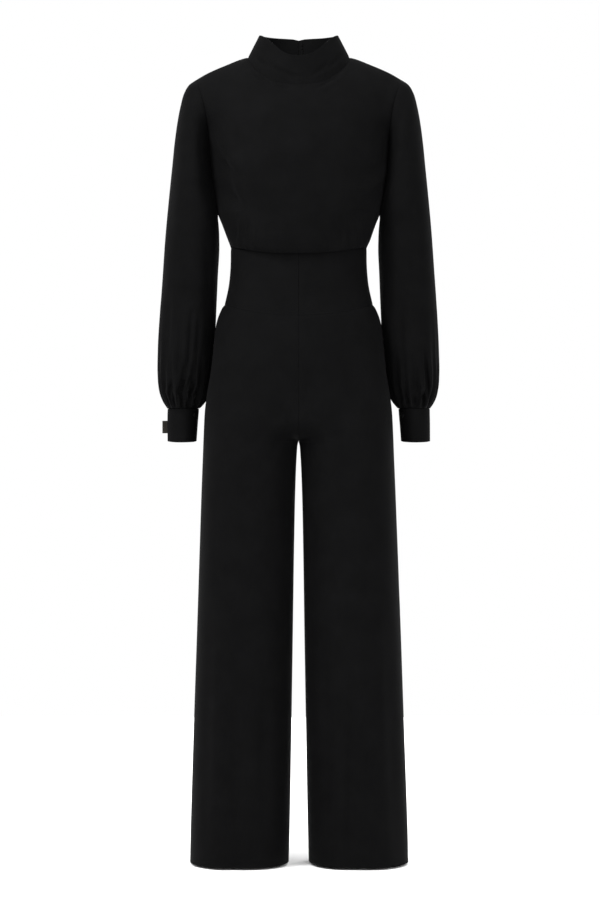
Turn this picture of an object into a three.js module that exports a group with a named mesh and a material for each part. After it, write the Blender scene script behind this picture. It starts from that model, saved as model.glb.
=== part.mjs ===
// Long-sleeved jumpsuit with a stand collar, balloon sleeves, a shaped waistband and wide legs.
// Worn shape, hollow. Millimetres, +Z up, the front faces -Y.
// The origin lies between the side points of the neck seam, where the shoulders hold the garment up.
import * as THREE from "three";

// Cloth
const WALL = 1.6;
const COLLAR_WALL = 2.4;
const BAND_WALL = 2.0;
const SEAM_GAP = 0.4;
const CENTRE_GAP = 0.2;
const SEAM_POINT_STEP = 0.05;

// Neck and collar
const NECK_HALF_WIDTH = 93;
const COLLAR_TOP_HALF_WIDTH = 72.5;
const COLLAR_TOP_SIDE_Y = 4;
const COLLAR_TOP_FRONT_Y = -57;
const COLLAR_TOP_BACK_Y = 56;
const COLLAR_ROWS = 3;

// Shoulder and armhole
const SHOULDER_X = 188;
const SHOULDER_Z = -40.5;
const UNDERARM_Z = -288;
const ARMHOLE_STEPS = 12;
const FRONT_SHOULDER_REACH = 200;
const FRONT_SHOULDER_ROUNDING = 1.5;
const BACK_SHOULDER_REACH = 120;
const BACK_SHOULDER_ROUNDING = 2.2;
const NECK_WARP_END_Z = -150;
const NECK_WARP_POWER = 1.2;

// Columns of a panel
const NECK_COLUMNS = 8;
const SHOULDER_COLUMNS = 6;
const HALF_COLUMNS = NECK_COLUMNS + SHOULDER_COLUMNS;
const QUARTER_COLUMNS = 10;

// How square a cross section is: 2 is an ellipse
const TORSO_SQUARENESS = 2.4;
const BAND_SQUARENESS = 2.3;
const LEG_SQUARENESS = 2.3;
const SLEEVE_SQUARENESS = 2.2;

// Waist, hip, crotch and hem
const HIP_LEVEL_Z = -545;
const CROTCH_TOP_Z = -625;
const CROTCH_Z = -702;
const CROTCH_Y = 4;
const HEM_Z = -1470;

// Cuffs
const CUFF_TOP_Z = -642.6;
const CUFF_BOTTOM_Z = -701.5;
const CUFF_FRONT_DIP = 3;
const CUFF_Y = 34;
const CUFF_HALF_DEPTH = 31.5;
const CUFF_LAP = 0.07;
const CUFF_LAP_START = 0.328;
const CUFF_COLUMNS = 26;
const CUFF_LAP_RISE = BAND_WALL + 0.5;

// Buttons, loops and the tab
const BUTTON_RADIUS = 4;
const BUTTON_HEIGHT = 3.4;
const BUTTON_SIDES = 12;
const BUTTON_EDGE = 0.7;
const BUTTON_RINGS = 4;
const BUTTON_LIFT = 0.3;
const BUTTON_X = 5;
const COLLAR_BUTTON_LEVELS = [7, 29];
const LOOP_RADIUS = 0.8;
const LOOP_REACH = 7;
const LOOP_ROOT_SPREAD = 0.6;
const LOOP_TURN_STEPS = 6;
const LOOP_STEPS = 14;
const LOOP_SIDES = 6;
const CUFF_BUTTON_TURN = 0.374;
const CUFF_BUTTON_SHARE = 0.2;
const TAB_WIDTH = 9;
const TAB_HEIGHT = 23;
const TAB_THICKNESS = 1.6;
const TAB_CENTRE_Z = -676;
const TAB_SLIT = 0.2;
const TAB_FOLD_SIDES = 4;

// Seam of the neck, by the angle from the centre front to the side
const NECK_SEAM_FRONT = [
  { angle: 0, z: -57 },
  { angle: 23, z: -52 },
  { angle: 44, z: -38 },
  { angle: 56, z: -28 },
  { angle: 75, z: -9.5 },
  { angle: 90, z: 0 },
];
const NECK_SEAM_BACK = [
  { angle: 0, z: -6 },
  { angle: 45, z: -5 },
  { angle: 90, z: 0 },
];

// Top edge of the collar, by the angle from the centre front to the centre back
const COLLAR_EDGE = [
  { angle: 0, z: -3.5 },
  { angle: 14, z: -0.5 },
  { angle: 26, z: 6.5 },
  { angle: 42, z: 20 },
  { angle: 56, z: 29.5 },
  { angle: 73, z: 35.5 },
  { angle: 90, z: 38.5 },
  { angle: 115, z: 40.5 },
  { angle: 172, z: 40.5 },
  { angle: 180, z: 38 },
];

// Shoulder line seen from the front
const SHOULDER_LINE = [
  { x: 0, z: 6, y: 7 },
  { x: 60, z: 4.5, y: 8 },
  { x: 93, z: 1, y: 8 },
  { x: 136, z: -14.4, y: 7 },
  { x: 167.6, z: -28.6, y: 5 },
  { x: 188, z: -40.5, y: 4 },
];

// Edge of the bodice at the armhole, seen from the front
const ARMHOLE = [
  { z: -288, x: 147.6 },
  { z: -278, x: 149 },
  { z: -262, x: 151.5 },
  { z: -246, x: 154.5 },
  { z: -232, x: 157 },
  { z: -210, x: 160.2 },
  { z: -184, x: 162.2 },
  { z: -161, x: 163.5 },
  { z: -137, x: 165 },
  { z: -113, x: 168 },
  { z: -90, x: 172.5 },
  { z: -72, x: 177.5 },
  { z: -55, x: 183 },
  { z: -40.5, x: 188 },
];

// Form that the bodice lies on
const TORSO = [
  { z: -322, halfWidth: 134.3, front: 115, back: 107.5 },
  { z: -301, halfWidth: 142.3, front: 118, back: 108 },
  { z: -288, halfWidth: 147.6, front: 119, back: 107.5 },
  { z: -262, halfWidth: 153, front: 120.3, back: 107 },
  { z: -232, halfWidth: 159.5, front: 121, back: 106 },
  { z: -190, halfWidth: 164.6, front: 121, back: 106 },
  { z: -150, halfWidth: 170, front: 120, back: 105 },
  { z: -120, halfWidth: 177, front: 119, back: 104 },
  { z: -80, halfWidth: 193, front: 118, back: 102 },
  { z: -40.5, halfWidth: 214, front: 118, back: 100 },
];

// Bodice just over the waistband, from the waist seam out and up: its cloth hangs over the seam
const BLOUSE = [
  { sideZ: -349.2, frontZ: -357, backZ: -352, halfWidth: 124, front: 93.5, back: 96.5 },
  { sideZ: -348.8, frontZ: -364.5, backZ: -356, halfWidth: 124.6, front: 99, back: 99 },
  { sideZ: -346, frontZ: -362, backZ: -353, halfWidth: 125.2, front: 106, back: 103 },
  { sideZ: -338, frontZ: -348, backZ: -343, halfWidth: 128.2, front: 112, back: 106 },
];
const BODICE_LEVELS = [-322, -305];

// Waistband, from the waist seam to the hip seam
const WAISTBAND = [
  { sideZ: -349.7, frontZ: -357.5, backZ: -352.5, halfWidth: 124.2, front: 93.5, back: 96.5 },
  { sideZ: -384, frontZ: -396, backZ: -388, halfWidth: 124.8, front: 95.5, back: 99 },
  { sideZ: -420, frontZ: -436, backZ: -426, halfWidth: 128.4, front: 100, back: 105 },
  { sideZ: -453.5, frontZ: -476, backZ: -462, halfWidth: 135.8, front: 106.5, back: 113 },
];

// Trousers above the crotch, by the height at the side seam
const HIP = [
  { z: -453.5, halfWidth: 135.8, front: 106.5, back: 113, squareness: 2.3 },
  { z: -457, halfWidth: 139, front: 108, back: 114.5, squareness: 2.3 },
  { z: -463, halfWidth: 142.2, front: 109, back: 116.5, squareness: 2.3 },
  { z: -476.7, halfWidth: 147.8, front: 110, back: 119.5, squareness: 2.3 },
  { z: -491, halfWidth: 151.4, front: 110.5, back: 122, squareness: 2.35 },
  { z: -526, halfWidth: 155.1, front: 111, back: 124.5, squareness: 2.45 },
  { z: -549, halfWidth: 157.5, front: 111, back: 125, squareness: 2.6 },
  { z: -575, halfWidth: 160.3, front: 110.5, back: 124.5, squareness: 2.8 },
  { z: -617, halfWidth: 167.2, front: 109, back: 121, squareness: 3.1 },
  { z: -652, halfWidth: 171.2, front: 107.5, back: 117, squareness: 3.3 },
  { z: -702, halfWidth: 173.6, front: 106, back: 113, squareness: 3.4 },
];
const HIP_LEVELS = [-453.5, -457, -463, -476.7, -491, -518, -545, -590, -625];
const CROTCH_SHARES = [0.45, 0.72, 0.87, 0.955, 1];
const CROTCH_RADIUS = 45;

// Trouser leg below the crotch
const LEG = [
  { z: -702, inner: 0.2, outer: 173.6, front: 106, back: 113 },
  { z: -711, inner: 2.4, outer: 173.9, front: 106, back: 112.5 },
  { z: -799, inner: 6.3, outer: 177.3, front: 105, back: 109 },
  { z: -887, inner: 8.2, outer: 180.3, front: 104, back: 107 },
  { z: -1062, inner: 11, outer: 186, front: 104, back: 106 },
  { z: -1238, inner: 13.5, outer: 192, front: 105, back: 107 },
  { z: -1414, inner: 16.6, outer: 197.8, front: 107, back: 109 },
  { z: -1470, inner: 18.2, outer: 199, front: 108, back: 110 },
];
const LEG_LEVELS = [-711, -760, -860, -980, -1110, -1240, -1370, -1470];

// Lengthwise folds of a leg: place from the inseam to the side seam, and depth at the hem
const LEG_FOLDS = [
  { isBack: false, share: 0.5, depth: 4.5, width: 0.09, startZ: -1000 },
  { isBack: false, share: 0.8, depth: 3, width: 0.09, startZ: -800 },
  { isBack: true, share: 0.3, depth: 4, width: 0.09, startZ: -900 },
  { isBack: true, share: 0.6, depth: 5, width: 0.1, startZ: -760 },
];

// Rings of a sleeve from the armhole to the cuff: outer and inner edge seen from the front,
// then the centre and the reach to front and back, and how far the gathers stand out
const SLEEVE = [
  { outX: 188, outZ: -40.5, inX: 147.6, inZ: -288, y: 4, front: 30, back: 34, gather: 0 },
  { outX: 201.5, outZ: -50, inX: 147.9, inZ: -291.5, y: 6, front: 46, back: 43, gather: 0 },
  { outX: 210, outZ: -64, inX: 147.9, inZ: -295, y: 9, front: 58, back: 47, gather: 0 },
  { outX: 216.8, outZ: -87, inX: 147.7, inZ: -298.5, y: 12, front: 66, back: 48, gather: 0 },
  { outX: 222.6, outZ: -116, inX: 147.3, inZ: -302.5, y: 15, front: 71, back: 48, gather: 0 },
  { outX: 227.6, outZ: -152, inX: 146.9, inZ: -307.5, y: 17, front: 74, back: 48, gather: 0 },
  { outX: 232.6, outZ: -202, inX: 146.4, inZ: -316, y: 19, front: 75, back: 48, gather: 0 },
  { outX: 238.1, outZ: -260, inX: 146, inZ: -330, y: 20, front: 74, back: 50, gather: 0 },
  { outX: 243.6, outZ: -320, inX: 146, inZ: -355, y: 21, front: 71, back: 53, gather: 0 },
  { outX: 249.1, outZ: -388, inX: 148.4, inZ: -398, y: 22, front: 68, back: 56, gather: 0 },
  { outX: 253.6, outZ: -446, inX: 150.5, inZ: -449, y: 23, front: 66, back: 60, gather: 0 },
  { outX: 256.8, outZ: -498, inX: 152.9, inZ: -499, y: 24, front: 65, back: 63, gather: 0.2 },
  { outX: 258.2, outZ: -545, inX: 157.6, inZ: -545, y: 26, front: 65, back: 65, gather: 0.8 },
  { outX: 257.9, outZ: -580, inX: 161.6, inZ: -580, y: 28, front: 63, back: 65, gather: 1.8 },
  { outX: 255, outZ: -607, inX: 166.2, inZ: -606, y: 30, front: 57, back: 59, gather: 3.2 },
  { outX: 250.6, outZ: -622.5, inX: 171.8, inZ: -622, y: 32, front: 49, back: 51, gather: 3.6 },
  { outX: 245.8, outZ: -633.5, inX: 177.8, inZ: -632.5, y: 33, front: 40, back: 41, gather: 2.8 },
  { outX: 241.6, outZ: -642, inX: 183.4, inZ: -641.6, y: 34, front: 31.5, back: 31.5, gather: 0.9 },
];
const ARMHOLE_BLEND_RINGS = 5;
const GATHERED_RING = 11;
const CUFF_OUTLINE = [
  { share: 0, outX: 241.4, inX: 183.6 },
  { share: 0.5, outX: 241.8, inX: 186.2 },
  { share: 1, outX: 241.7, inX: 188.4 },
];

// Gathers round a sleeve end: width as a share of the mean one, and depth as a share of the ring's
const GATHERS = [
  { width: 1.1, depth: 0.7 },
  { width: 0.8, depth: 1.1 },
  { width: 0.9, depth: 0.9 },
  { width: 1.2, depth: 1.3 },
  { width: 0.8, depth: 1 },
  { width: 1, depth: 1.2 },
  { width: 1.1, depth: 0.8 },
  { width: 0.9, depth: 1 },
  { width: 1.2, depth: 1.2 },
  { width: 0.8, depth: 0.8 },
  { width: 1, depth: 1.1 },
  { width: 1.1, depth: 0.9 },
  { width: 0.9, depth: 1.2 },
  { width: 1.2, depth: 1 },
  { width: 0.9, depth: 0.8 },
  { width: 1.1, depth: 1.1 },
];
const GATHER_PROFILE = [-1, 0.7, 0.8];

const RIGHT_ANGLE = Math.PI / 2;
const point = (x, y, z) => new THREE.Vector3(x, y, z);
const mix = (a, b, share) => a + (b - a) * share;
const degrees = (angle) => (angle * 180) / Math.PI;
const power = (value, exponent) => Math.sign(value) * Math.abs(value) ** exponent;

// A smooth curve through one column of a table, which never swings past its rows
function curveThrough(rows, along, column) {
  const sorted = [...rows].sort((a, b) => a[along] - b[along]);
  const places = sorted.map((row) => row[along]);
  const values = sorted.map((row) => row[column]);
  const last = values.length - 1;
  const slopes = [];
  for (let i = 0; i < last; i += 1) {
    slopes.push((values[i + 1] - values[i]) / (places[i + 1] - places[i]));
  }
  const tangents = values.map((_, i) => {
    if (i === 0) return slopes[0];
    if (i === last) return slopes[last - 1];
    const product = slopes[i - 1] * slopes[i];
    return product <= 0 ? 0 : (2 * product) / (slopes[i - 1] + slopes[i]);
  });
  return (place) => {
    if (place <= places[0]) return values[0];
    if (place >= places[last]) return values[last];
    let i = 0;
    while (places[i + 1] < place) i += 1;
    const span = places[i + 1] - places[i];
    const t = (place - places[i]) / span;
    const rise = t * t * (3 - 2 * t);
    const lift = t * (1 - t) * span;
    return mix(values[i], values[i + 1], rise) + lift * ((1 - t) * tangents[i] - t * tangents[i + 1]);
  };
}

const neckFrontZ = curveThrough(NECK_SEAM_FRONT, "angle", "z");
const neckBackZ = curveThrough(NECK_SEAM_BACK, "angle", "z");
const collarEdgeZ = curveThrough(COLLAR_EDGE, "angle", "z");
const shoulderZ = curveThrough(SHOULDER_LINE, "x", "z");
const shoulderY = curveThrough(SHOULDER_LINE, "x", "y");
const armholeX = curveThrough(ARMHOLE, "z", "x");
const torsoHalfWidth = curveThrough(TORSO, "z", "halfWidth");
const torsoFront = curveThrough(TORSO, "z", "front");
const torsoBack = curveThrough(TORSO, "z", "back");

// Depth of the bodice's form at a place seen from the front or the back
function torsoY(x, z, isBack) {
  const reach = isBack ? BACK_SHOULDER_REACH : FRONT_SHOULDER_REACH;
  const rounding = isBack ? BACK_SHOULDER_ROUNDING : FRONT_SHOULDER_ROUNDING;
  const distance = Math.abs(x);
  const ridgeY = shoulderY(distance);
  const below = Math.min(Math.max(shoulderZ(distance) - z, 0) / reach, 1);
  const rise = (1 - (1 - below) ** rounding) ** (1 / rounding);
  const across = Math.min(distance / torsoHalfWidth(z), 1) ** TORSO_SQUARENESS;
  const fullness = (1 - across) ** (1 / TORSO_SQUARENESS) * rise;
  const depth = isBack ? torsoBack(z) - ridgeY : -torsoFront(z) - ridgeY;
  return ridgeY + depth * fullness;
}

// A point of an oval section: angle 0 at the centre seam, a right angle at the side
function sectionPoint(row, angle, isBack, squareness, side) {
  const across = power(Math.sin(angle), 2 / squareness);
  const ahead = power(Math.cos(angle), 2 / squareness);
  const drop = Math.cos(angle) ** 2;
  const depth = isBack ? row.back * ahead : -row.front * ahead;
  const z = mix(row.sideZ, isBack ? row.backZ : row.frontZ, drop);
  return point(side * row.halfWidth * across, depth, z);
}

// Heights of the armhole's points from the underarm up to the shoulder
function armholeLevels() {
  const middle = (SHOULDER_Z + UNDERARM_Z) / 2;
  const half = (SHOULDER_Z - UNDERARM_Z) / 2;
  const levels = [];
  for (let i = 0; i <= ARMHOLE_STEPS; i += 1) {
    levels.push(middle - half * Math.cos((Math.PI * i) / ARMHOLE_STEPS));
  }
  return levels;
}

// Top edge of half a bodice panel: the neckline, then the shoulder seam
function bodiceTopEdge(column, isBack) {
  if (column <= NECK_COLUMNS) {
    const angle = (RIGHT_ANGLE * column) / NECK_COLUMNS;
    const z = isBack ? neckBackZ(degrees(angle)) : neckFrontZ(degrees(angle));
    return { x: NECK_HALF_WIDTH * Math.sin(angle), z };
  }
  const x = mix(NECK_HALF_WIDTH, SHOULDER_X, (column - NECK_COLUMNS) / SHOULDER_COLUMNS);
  return { x, z: shoulderZ(x) };
}

// A point of half a bodice panel above the blouse, on the level that its armhole edge gives
function bodicePoint(level, column, isBack, side) {
  const halfWidth = torsoHalfWidth(level);
  const edge = level > UNDERARM_Z ? armholeX(level) : halfWidth;
  const edgeAngle = Math.asin(Math.min(edge / halfWidth, 1) ** (TORSO_SQUARENESS / 2));
  const share = Math.sin((edgeAngle * column) / HALF_COLUMNS) / Math.sin(edgeAngle);
  const top = bodiceTopEdge(column, isBack);
  const rise = Math.max((level - NECK_WARP_END_Z) / (SHOULDER_Z - NECK_WARP_END_Z), 0) ** NECK_WARP_POWER;
  const x = edge * mix(share ** (2 / TORSO_SQUARENESS), top.x / SHOULDER_X, rise);
  const z = level + (top.z - SHOULDER_Z) * rise;
  return point(side * x, torsoY(x, z, isBack), z);
}

// Rows of half a bodice panel from the waist seam to the shoulder, each from the centre to the side
function bodiceHalf(isBack, side) {
  const rows = BLOUSE.map((row) => {
    const cells = [];
    for (let column = 0; column <= HALF_COLUMNS; column += 1) {
      cells.push(sectionPoint(row, (RIGHT_ANGLE * column) / HALF_COLUMNS, isBack, TORSO_SQUARENESS, side));
    }
    return cells;
  });
  for (const level of [...BODICE_LEVELS, ...armholeLevels()]) {
    const cells = [];
    for (let column = 0; column <= HALF_COLUMNS; column += 1) {
      cells.push(bodicePoint(level, column, isBack, side));
    }
    rows.push(cells);
  }
  return rows;
}

function bodiceFront() {
  const left = bodiceHalf(false, -1);
  const right = bodiceHalf(false, 1);
  return left.map((row, i) => [...row.slice(1).reverse(), ...right[i]]);
}

const bodiceBack = (side) => bodiceHalf(true, side).map((row) => row.reverse());

// Collar band from the neck seam up, each row from the centre back round the front and back again
function collarRows() {
  const turns = [];
  for (let i = -2 * NECK_COLUMNS; i <= 2 * NECK_COLUMNS; i += 1) {
    turns.push((RIGHT_ANGLE * i) / NECK_COLUMNS);
  }
  const base = turns.map((turn) => {
    const isBack = Math.cos(turn) < 0;
    const angle = isBack ? Math.PI - Math.abs(turn) : Math.abs(turn);
    const x = NECK_HALF_WIDTH * Math.sin(angle);
    const z = isBack ? neckBackZ(degrees(angle)) : neckFrontZ(degrees(angle));
    return point(Math.sign(turn) * x, torsoY(x, z, isBack), z);
  });
  const top = turns.map((turn) => {
    const ahead = Math.cos(turn);
    const reach = ahead > 0 ? COLLAR_TOP_FRONT_Y : COLLAR_TOP_BACK_Y;
    const y = mix(COLLAR_TOP_SIDE_Y, reach, Math.abs(ahead));
    return point(COLLAR_TOP_HALF_WIDTH * Math.sin(turn), y, collarEdgeZ(degrees(Math.abs(turn))));
  });
  const rows = [];
  for (let i = 0; i <= COLLAR_ROWS; i += 1) {
    rows.push(base.map((low, k) => low.clone().lerp(top[k], i / COLLAR_ROWS)));
  }
  for (const row of rows) {
    row[0].x = -CENTRE_GAP;
    row[row.length - 1].x = CENTRE_GAP;
  }
  return rows;
}

// Ring of a sleeve: column 0 at its outer edge, then the front, the inner edge and the back
function sleeveRing(row, turns) {
  const centreX = (row.outX + row.inX) / 2;
  const centreZ = (row.outZ + row.inZ) / 2;
  return turns.map(({ turn, fold }) => {
    const angle = 2 * Math.PI * turn;
    const across = power(Math.cos(angle), 2 / SLEEVE_SQUARENESS);
    const ahead = power(Math.sin(angle), 2 / SLEEVE_SQUARENESS);
    const halfX = (row.outX - row.inX) / 2;
    const halfZ = (row.outZ - row.inZ) / 2;
    const depth = ahead > 0 ? row.front : row.back;
    const stand = 1 + (fold * row.gather) / Math.hypot(halfX * across, depth * ahead);
    return point(
      centreX + halfX * across * stand,
      row.y - depth * ahead * stand,
      centreZ + halfZ * across,
    );
  });
}

// The bodice's armhole edge as a ring with the same order of points as a sleeve's
function armholeRing() {
  const levels = armholeLevels().reverse();
  const edge = (isBack) => levels.map((level) => bodicePoint(level, HALF_COLUMNS, isBack, 1));
  const front = edge(false);
  const back = edge(true).reverse();
  return [...front, ...back.slice(1, -1)];
}

function evenTurns() {
  const turns = [];
  for (let i = 0; i < 2 * ARMHOLE_STEPS; i += 1) {
    turns.push({ turn: i / (2 * ARMHOLE_STEPS), fold: 0 });
  }
  return turns;
}

// Three points a gather: its narrow valley and the two sides of its crest
function gatheredTurns() {
  const total = GATHERS.reduce((sum, gather) => sum + gather.width, 0);
  const turns = [];
  let start = 0;
  for (const { width, depth } of GATHERS) {
    GATHER_PROFILE.forEach((stand, i) => {
      turns.push({ turn: (start + (width * i) / GATHER_PROFILE.length) / total, fold: stand * depth });
    });
    start += width;
  }
  return turns;
}

function sleeveRows() {
  const plain = evenTurns();
  const gathered = gatheredTurns();
  const armhole = armholeRing();
  const first = sleeveRing(SLEEVE[0], plain);
  return SLEEVE.map((row, i) => {
    if (i >= GATHERED_RING) return sleeveRing(row, gathered);
    const share = Math.max(1 - i / ARMHOLE_BLEND_RINGS, 0);
    return sleeveRing(row, plain).map((place, k) => {
      const difference = armhole[k].clone().sub(first[k]);
      return place.addScaledVector(difference, share);
    });
  });
}

// A cuff is a strip that goes once round the wrist and laps over its own start
function cuffRows() {
  const outX = curveThrough(CUFF_OUTLINE, "share", "outX");
  const inX = curveThrough(CUFF_OUTLINE, "share", "inX");
  return CUFF_OUTLINE.map(({ share }) => {
    const halfWidth = (outX(share) - inX(share)) / 2;
    const centre = (outX(share) + inX(share)) / 2;
    const cells = [];
    for (let column = 0; column <= CUFF_COLUMNS; column += 1) {
      const travel = ((1 + CUFF_LAP) * column) / CUFF_COLUMNS;
      const angle = 2 * Math.PI * (CUFF_LAP_START + travel);
      const climb = THREE.MathUtils.smoothstep(travel, 1 - 2 * CUFF_LAP, 1 - CUFF_LAP / 4) * CUFF_LAP_RISE;
      const dip = CUFF_FRONT_DIP * share * Math.sin(angle);
      cells.push(
        point(
          centre + (halfWidth + climb) * Math.cos(angle),
          CUFF_Y - (CUFF_HALF_DEPTH + climb) * Math.sin(angle),
          mix(CUFF_TOP_Z, CUFF_BOTTOM_Z, share) - dip,
        ),
      );
    }
    return cells;
  });
}

function waistbandRows(isBack, side) {
  return WAISTBAND.map((row) => {
    const cells = [];
    for (let column = 0; column <= QUARTER_COLUMNS; column += 1) {
      const angle = (RIGHT_ANGLE * column) / QUARTER_COLUMNS;
      const place = sectionPoint(row, angle, isBack, BAND_SQUARENESS, side);
      if (column === 0) place.x = side * CENTRE_GAP;
      cells.push(place);
    }
    return isBack ? cells : cells.reverse();
  });
}

const hipHalfWidth = curveThrough(HIP, "z", "halfWidth");
const hipFront = curveThrough(HIP, "z", "front");
const hipBack = curveThrough(HIP, "z", "back");
const hipSquareness = curveThrough(HIP, "z", "squareness");
const legInner = curveThrough(LEG, "z", "inner");
const legOuter = curveThrough(LEG, "z", "outer");
const legFront = curveThrough(LEG, "z", "front");
const legBack = curveThrough(LEG, "z", "back");

// Depth of the body's section at a distance from the middle plane
function hipY(x, z, isBack) {
  const squareness = hipSquareness(z);
  const fullness = (1 - Math.min(x / hipHalfWidth(z), 1) ** squareness) ** (1 / squareness);
  return isBack ? hipBack(z) * fullness : -hipFront(z) * fullness;
}

// Half of a leg's section, from the inseam at share 0 to the side seam at share 1
function legPoint(z, share, isBack, inner, outer, reach) {
  const angle = Math.PI * (1 - share);
  const across = power(Math.cos(angle), 2 / LEG_SQUARENESS);
  const ahead = power(Math.sin(angle), 2 / LEG_SQUARENESS);
  const inseamY = CROTCH_Y * (1 - share);
  const x = (inner + outer) / 2 + ((outer - inner) / 2) * across;
  return point(x, (isBack ? reach : -reach) * ahead + inseamY, z);
}

// Level of a trouser row between the hip seam, which dips at the centre, and the level hip
function trouserLevel(sideZ, angle, isBack) {
  const seam = WAISTBAND[WAISTBAND.length - 1];
  const share = Math.min((sideZ - seam.sideZ) / (HIP_LEVEL_Z - seam.sideZ), 1);
  const dip = (isBack ? seam.backZ : seam.frontZ) - seam.sideZ;
  return sideZ + dip * (1 - share) * Math.cos(angle) ** 2;
}

// Row across half the hips: its columns slide from even angles to the leg's own as it nears the crotch
function hipRow(sideZ, isBack) {
  const squareness = hipSquareness(sideZ);
  const slide = THREE.MathUtils.clamp((sideZ - HIP_LEVEL_Z) / (CROTCH_TOP_Z - HIP_LEVEL_Z), 0, 1);
  const cells = [];
  for (let column = 0; column <= QUARTER_COLUMNS; column += 1) {
    const share = column / QUARTER_COLUMNS;
    const angle = RIGHT_ANGLE * share;
    const even = hipHalfWidth(sideZ) * power(Math.sin(angle), 2 / squareness);
    const own = legPoint(sideZ, share, isBack, CENTRE_GAP, hipHalfWidth(sideZ), 0).x;
    const x = mix(even, own, slide);
    cells.push(point(x, hipY(x, sideZ, isBack), trouserLevel(sideZ, angle, isBack)));
  }
  return cells;
}

// Row at the crotch: the body's section turning into the leg's, which rounds under from the centre seam too
function crotchRow(share, isBack) {
  const z = mix(CROTCH_TOP_Z, CROTCH_Z, share);
  const legTurn = THREE.MathUtils.smoothstep(share, 0, 1);
  const reach = isBack ? hipBack(z) : hipFront(z);
  const middle = hipHalfWidth(z) / 2;
  const cells = [];
  for (let column = 0; column <= QUARTER_COLUMNS; column += 1) {
    const place = legPoint(z, column / QUARTER_COLUMNS, isBack, CENTRE_GAP, hipHalfWidth(z), reach);
    if (place.x < middle) {
      const outFromSeam = Math.min(Math.hypot(place.x / middle, (z - CROTCH_Z) / CROTCH_RADIUS), 1);
      const fullness = (1 - (1 - outFromSeam) ** LEG_SQUARENESS) ** (1 / LEG_SQUARENESS);
      const inseamY = CROTCH_Y * (1 - column / QUARTER_COLUMNS);
      place.y = (isBack ? reach : -reach) * fullness + inseamY;
    }
    place.y = mix(hipY(place.x, z, isBack), place.y, legTurn);
    cells.push(place);
  }
  return cells;
}

// Row round half a leg, with the soft lengthwise folds that the cloth hangs in
function legRow(z, isBack) {
  const cells = [];
  for (let column = 0; column <= QUARTER_COLUMNS; column += 1) {
    const share = column / QUARTER_COLUMNS;
    const reach = isBack ? legBack(z) : legFront(z);
    const place = legPoint(z, share, isBack, legInner(z), legOuter(z), reach);
    for (const fold of LEG_FOLDS.filter((row) => row.isBack === isBack)) {
      const grown = THREE.MathUtils.smoothstep(-z, -fold.startZ, -HEM_Z);
      const near = Math.exp(-(((share - fold.share) / fold.width) ** 2));
      place.y += (isBack ? -1 : 1) * fold.depth * grown * near;
    }
    cells.push(place);
  }
  return cells;
}

function trouserRows(isBack, side) {
  const rows = [
    ...HIP_LEVELS.map((z) => hipRow(z, isBack)),
    ...CROTCH_SHARES.map((share) => crotchRow(share, isBack)),
    ...LEG_LEVELS.map((z) => legRow(z, isBack)),
  ];
  for (const row of rows) {
    for (const place of row) place.x = side * Math.max(place.x, CENTRE_GAP);
  }
  return isBack ? rows : rows.map((row) => row.reverse());
}

// Vertices along a row pair, split into triangles; a closed row may have twice the points of the one before
function bridge(upper, lower, isClosed, shorter) {
  const triangles = [];
  const count = isClosed ? upper.length : upper.length - 1;
  const doubles = lower.length === 2 * upper.length;
  for (let i = 0; i < count; i += 1) {
    const a = upper[i];
    const b = upper[(i + 1) % upper.length];
    if (doubles) {
      const [c, d, e] = [2 * i, 2 * i + 1, (2 * i + 2) % lower.length].map((k) => lower[k]);
      triangles.push([a, b, d], [a, d, c], [b, e, d]);
    } else {
      const c = lower[(i + 1) % lower.length];
      const d = lower[i];
      if (shorter(a, c, b, d)) triangles.push([a, b, c], [a, c, d]);
      else triangles.push([a, b, d], [b, c, d]);
    }
  }
  return triangles;
}

// Numbers the points of a piece's rows and joins them into one skin
function skinOf(rows, isClosed) {
  const points = rows.flat();
  const ids = [];
  let next = 0;
  for (const row of rows) {
    ids.push(row.map((_, i) => next + i));
    next += row.length;
  }
  const length = (i, k) => points[i].distanceToSquared(points[k]);
  const shorter = (a, c, b, d) => length(a, c) <= length(b, d);
  const triangles = [];
  for (let i = 0; i + 1 < ids.length; i += 1) {
    triangles.push(...bridge(ids[i], ids[i + 1], isClosed, shorter));
  }
  return { points, ids, triangles };
}

// Pieces that share a seam share its points, so the directions that they add up are the same on both sides
function seamKey(place) {
  const x = Math.abs(place.x) < CENTRE_GAP + SEAM_POINT_STEP ? 0 : place.x;
  return [x, place.y, place.z].map((value) => Math.round(value / SEAM_POINT_STEP)).join(" ");
}

function outwardDirections(pieces) {
  const directions = new Map();
  for (const { skin, flipped } of pieces) {
    for (const triangle of skin.triangles) {
      const corners = triangle.map((i) => skin.points[i]);
      corners.forEach((place, i) => {
        const ahead = corners[(i + 1) % 3].clone().sub(place);
        const back = corners[(i + 2) % 3].clone().sub(place);
        const weight = ahead.angleTo(back) * (flipped ? -1 : 1);
        const key = seamKey(place);
        if (!directions.has(key)) directions.set(key, new THREE.Vector3());
        directions.get(key).addScaledVector(ahead.cross(back).normalize(), weight);
      });
    }
  }
  for (const direction of directions.values()) direction.normalize();
  return directions;
}

// How far the points on a piece's seams move back into it
function seamShifts(rows, isClosed, seams) {
  const shifts = rows.map((row) => row.map(() => new THREE.Vector3()));
  const pull = (r, c, toR, toC) => {
    const step = rows[toR][toC].clone().sub(rows[r][c]);
    shifts[r][c].add(step.setLength(SEAM_GAP / 2));
  };
  const end = rows.length - 1;
  rows.forEach((row, r) => {
    row.forEach((_, c) => {
      if (r === 0 && seams.first) pull(r, c, 1, rows[1].length === row.length ? c : 2 * c);
      if (r === end && seams.last) pull(r, c, end - 1, c);
      if (!isClosed && c === 0 && seams.start) pull(r, c, r, 1);
      if (!isClosed && c === row.length - 1 && seams.end) pull(r, c, r, c - 1);
    });
  });
  return shifts.flat();
}

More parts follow.
